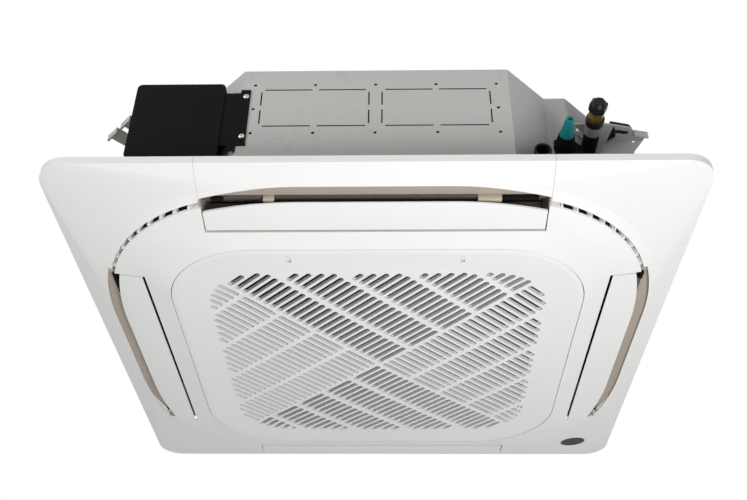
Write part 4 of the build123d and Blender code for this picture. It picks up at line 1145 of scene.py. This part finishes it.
# ---- the set -------------------------------------------------------------------------------------
@dataclass(frozen=True)
class Lamp:
    """A soft square lamp: its place, the point that it faces, its side and its power."""

    name: str
    place: Point
    aim: Point
    width: float
    watts: float

    def build(self) -> None:
        """Adds the lamp, unseen by the camera itself."""
        data = bpy.data.lights.new(self.name, "AREA")
        data.size = self.width
        data.energy = self.watts
        lamp = bpy.data.objects.new(self.name, data)
        lamp.location = self.place
        lamp.rotation_mode = "QUATERNION"
        lamp.rotation_quaternion = (Vector(self.aim) - Vector(self.place)).to_track_quat("-Z", "Y")
        lamp.visible_camera = False
        bpy.context.scene.collection.objects.link(lamp)


@dataclass
class Studio:
    """Camera, lamps, pale floor and white surroundings."""

    eye: Point = (0.0284, -1.4672, -0.8926)
    elevation: float = 36.339
    yaw: float = -1.563
    roll: float = 0.713
    lens: float = 46.39
    floor: float = -4.2
    floor_reach: float = 40.0
    floor_tone: float = 0.86
    floor_lift: float = 0.5
    ambient: float = 0.22
    lamps: tuple[Lamp, ...] = (
        Lamp("key", (0.70, -1.42, -1.66), (0.0, -0.1, 0.0), 0.9, 36.0),
        Lamp("fill", (-2.1, -2.1, 0.5), (0.0, -0.4, 0.1), 1.4, 32.0),
        Lamp("back", (0.4, 2.6, 2.2), (0.0, 0.2, 0.2), 2.0, 60.0),
        Lamp("bounce", (-0.3, 0.0, -4.0), (0.0, 0.0, 0.0), 2.6, 20.0),
    )

    def camera(self) -> None:
        """Puts the camera at the photograph's place and angle."""
        data = bpy.data.cameras.new("camera")
        data.lens = self.lens
        data.sensor_width = 36.0
        camera = bpy.data.objects.new("camera", data)
        el, yaw, roll = (math.radians(v) for v in (self.elevation, self.yaw, self.roll))
        ahead = Vector((math.sin(yaw) * math.cos(el), math.cos(yaw) * math.cos(el), math.sin(el)))
        level = ahead.cross(Vector((0, 0, 1))).normalized()
        upright = level.cross(ahead)
        right = level * math.cos(roll) + upright * math.sin(roll)
        up = upright * math.cos(roll) - level * math.sin(roll)
        turn = Matrix((right, up, -ahead)).transposed()
        camera.matrix_world = Matrix.Translation(self.eye) @ turn.to_4x4()
        bpy.context.scene.collection.objects.link(camera)
        bpy.context.scene.camera = camera

    def surroundings(self) -> None:
        """Makes the world white to the eye and in reflections, and a plain grey as light."""
        world = bpy.data.worlds.new("surroundings")
        world.use_nodes = True
        bpy.context.scene.world = world
        graph = Graph(world.node_tree)
        path = graph.add("ShaderNodeLightPath")
        seen = path.outputs["Is Camera Ray"]
        for kind in ("Is Glossy Ray", "Is Transmission Ray"):
            either = graph.add("ShaderNodeMath", {0: seen, 1: path.outputs[kind]}, operation="MAXIMUM")
            seen = either.outputs[0]
        inputs = {"Value": seen, "To Min": self.ambient, "To Max": 1.0}
        strength = graph.add("ShaderNodeMapRange", inputs)
        ground = world.node_tree.nodes["Background"]
        ground.inputs["Color"].default_value = (1.0, 1.0, 1.0, 1.0)
        graph.put(ground.inputs["Strength"], strength.outputs["Result"])

    def floor_piece(self) -> None:
        """Lays the plain pale floor, lifted a little for the eye alone."""
        mesh = bpy.data.meshes.new("floor")
        reach = self.floor_reach
        places = [(-reach, -reach), (reach, -reach), (reach, reach), (-reach, reach)]
        mesh.from_pydata([(x, y, self.floor) for x, y in places], [], [(0, 1, 2, 3)])
        finish = bpy.data.materials.new("floor_white")
        finish.use_nodes = True
        shader = finish.node_tree.nodes["Principled BSDF"]
        shader.inputs["Base Color"].default_value = (*[self.floor_tone] * 3, 1.0)
        shader.inputs["Roughness"].default_value = 0.7
        shader.inputs["Emission Color"].default_value = (1.0, 1.0, 1.0, 1.0)
        graph = Graph(finish.node_tree)
        seen = graph.add("ShaderNodeLightPath").outputs["Is Camera Ray"]
        lift = graph.add("ShaderNodeMath", {0: seen, 1: self.floor_lift}, operation="MULTIPLY")
        graph.put(shader.inputs["Emission Strength"], lift.outputs[0])
        link_mesh("floor", mesh, finish)

    def build(self) -> None:
        """Builds the whole set."""
        self.camera()
        self.surroundings()
        self.floor_piece()
        for lamp in self.lamps:
            lamp.build()
        bpy.context.scene.view_settings.view_transform = "Standard"


# ---- dressing -------------------------------------------------------------------------------------
class Dresser:
    """Gives the model's own nodes their finishes."""

    def __init__(self, frame: dict, palette: Palette) -> None:
        """Keeps the frame and the palette.

        Args:
            palette: the finishes.
        """
        self.nodes: dict[str, bpy.types.Object] = frame["nodes"]
        self.slots = {s["node"]: s["material_slot"] for s in frame["record"]["subparts"]}
        self.palette = palette

    def build(self) -> None:
        """Dresses every node."""
        for name, node in self.nodes.items():
            finish = self.palette[self.slots[name]]
            if node.material_slots:
                for slot in node.material_slots:
                    slot.material = finish
            else:
                node.data.materials.append(finish)
            log.info("dressed %s in %s", name, finish.name)


def main() -> None:
    """Builds the scene in order."""
    logging.basicConfig(level=logging.INFO, format="%(message)s")
    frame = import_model()
    palette = Palette()
    Studio().build()
    Dresser(frame, palette).build()
    FilterNet().build(palette)
    OutletTrim().build(palette)
    KnockLines().build(palette)
    Coil().build(palette)
    Rotor().build(palette)
    for node, name in (("hanger_screws", "bracket_screws"), ("box_screws", "cover_screws")):
        Screws().build(frame, palette, node, name)


if __name__ == "__main__":
    main()
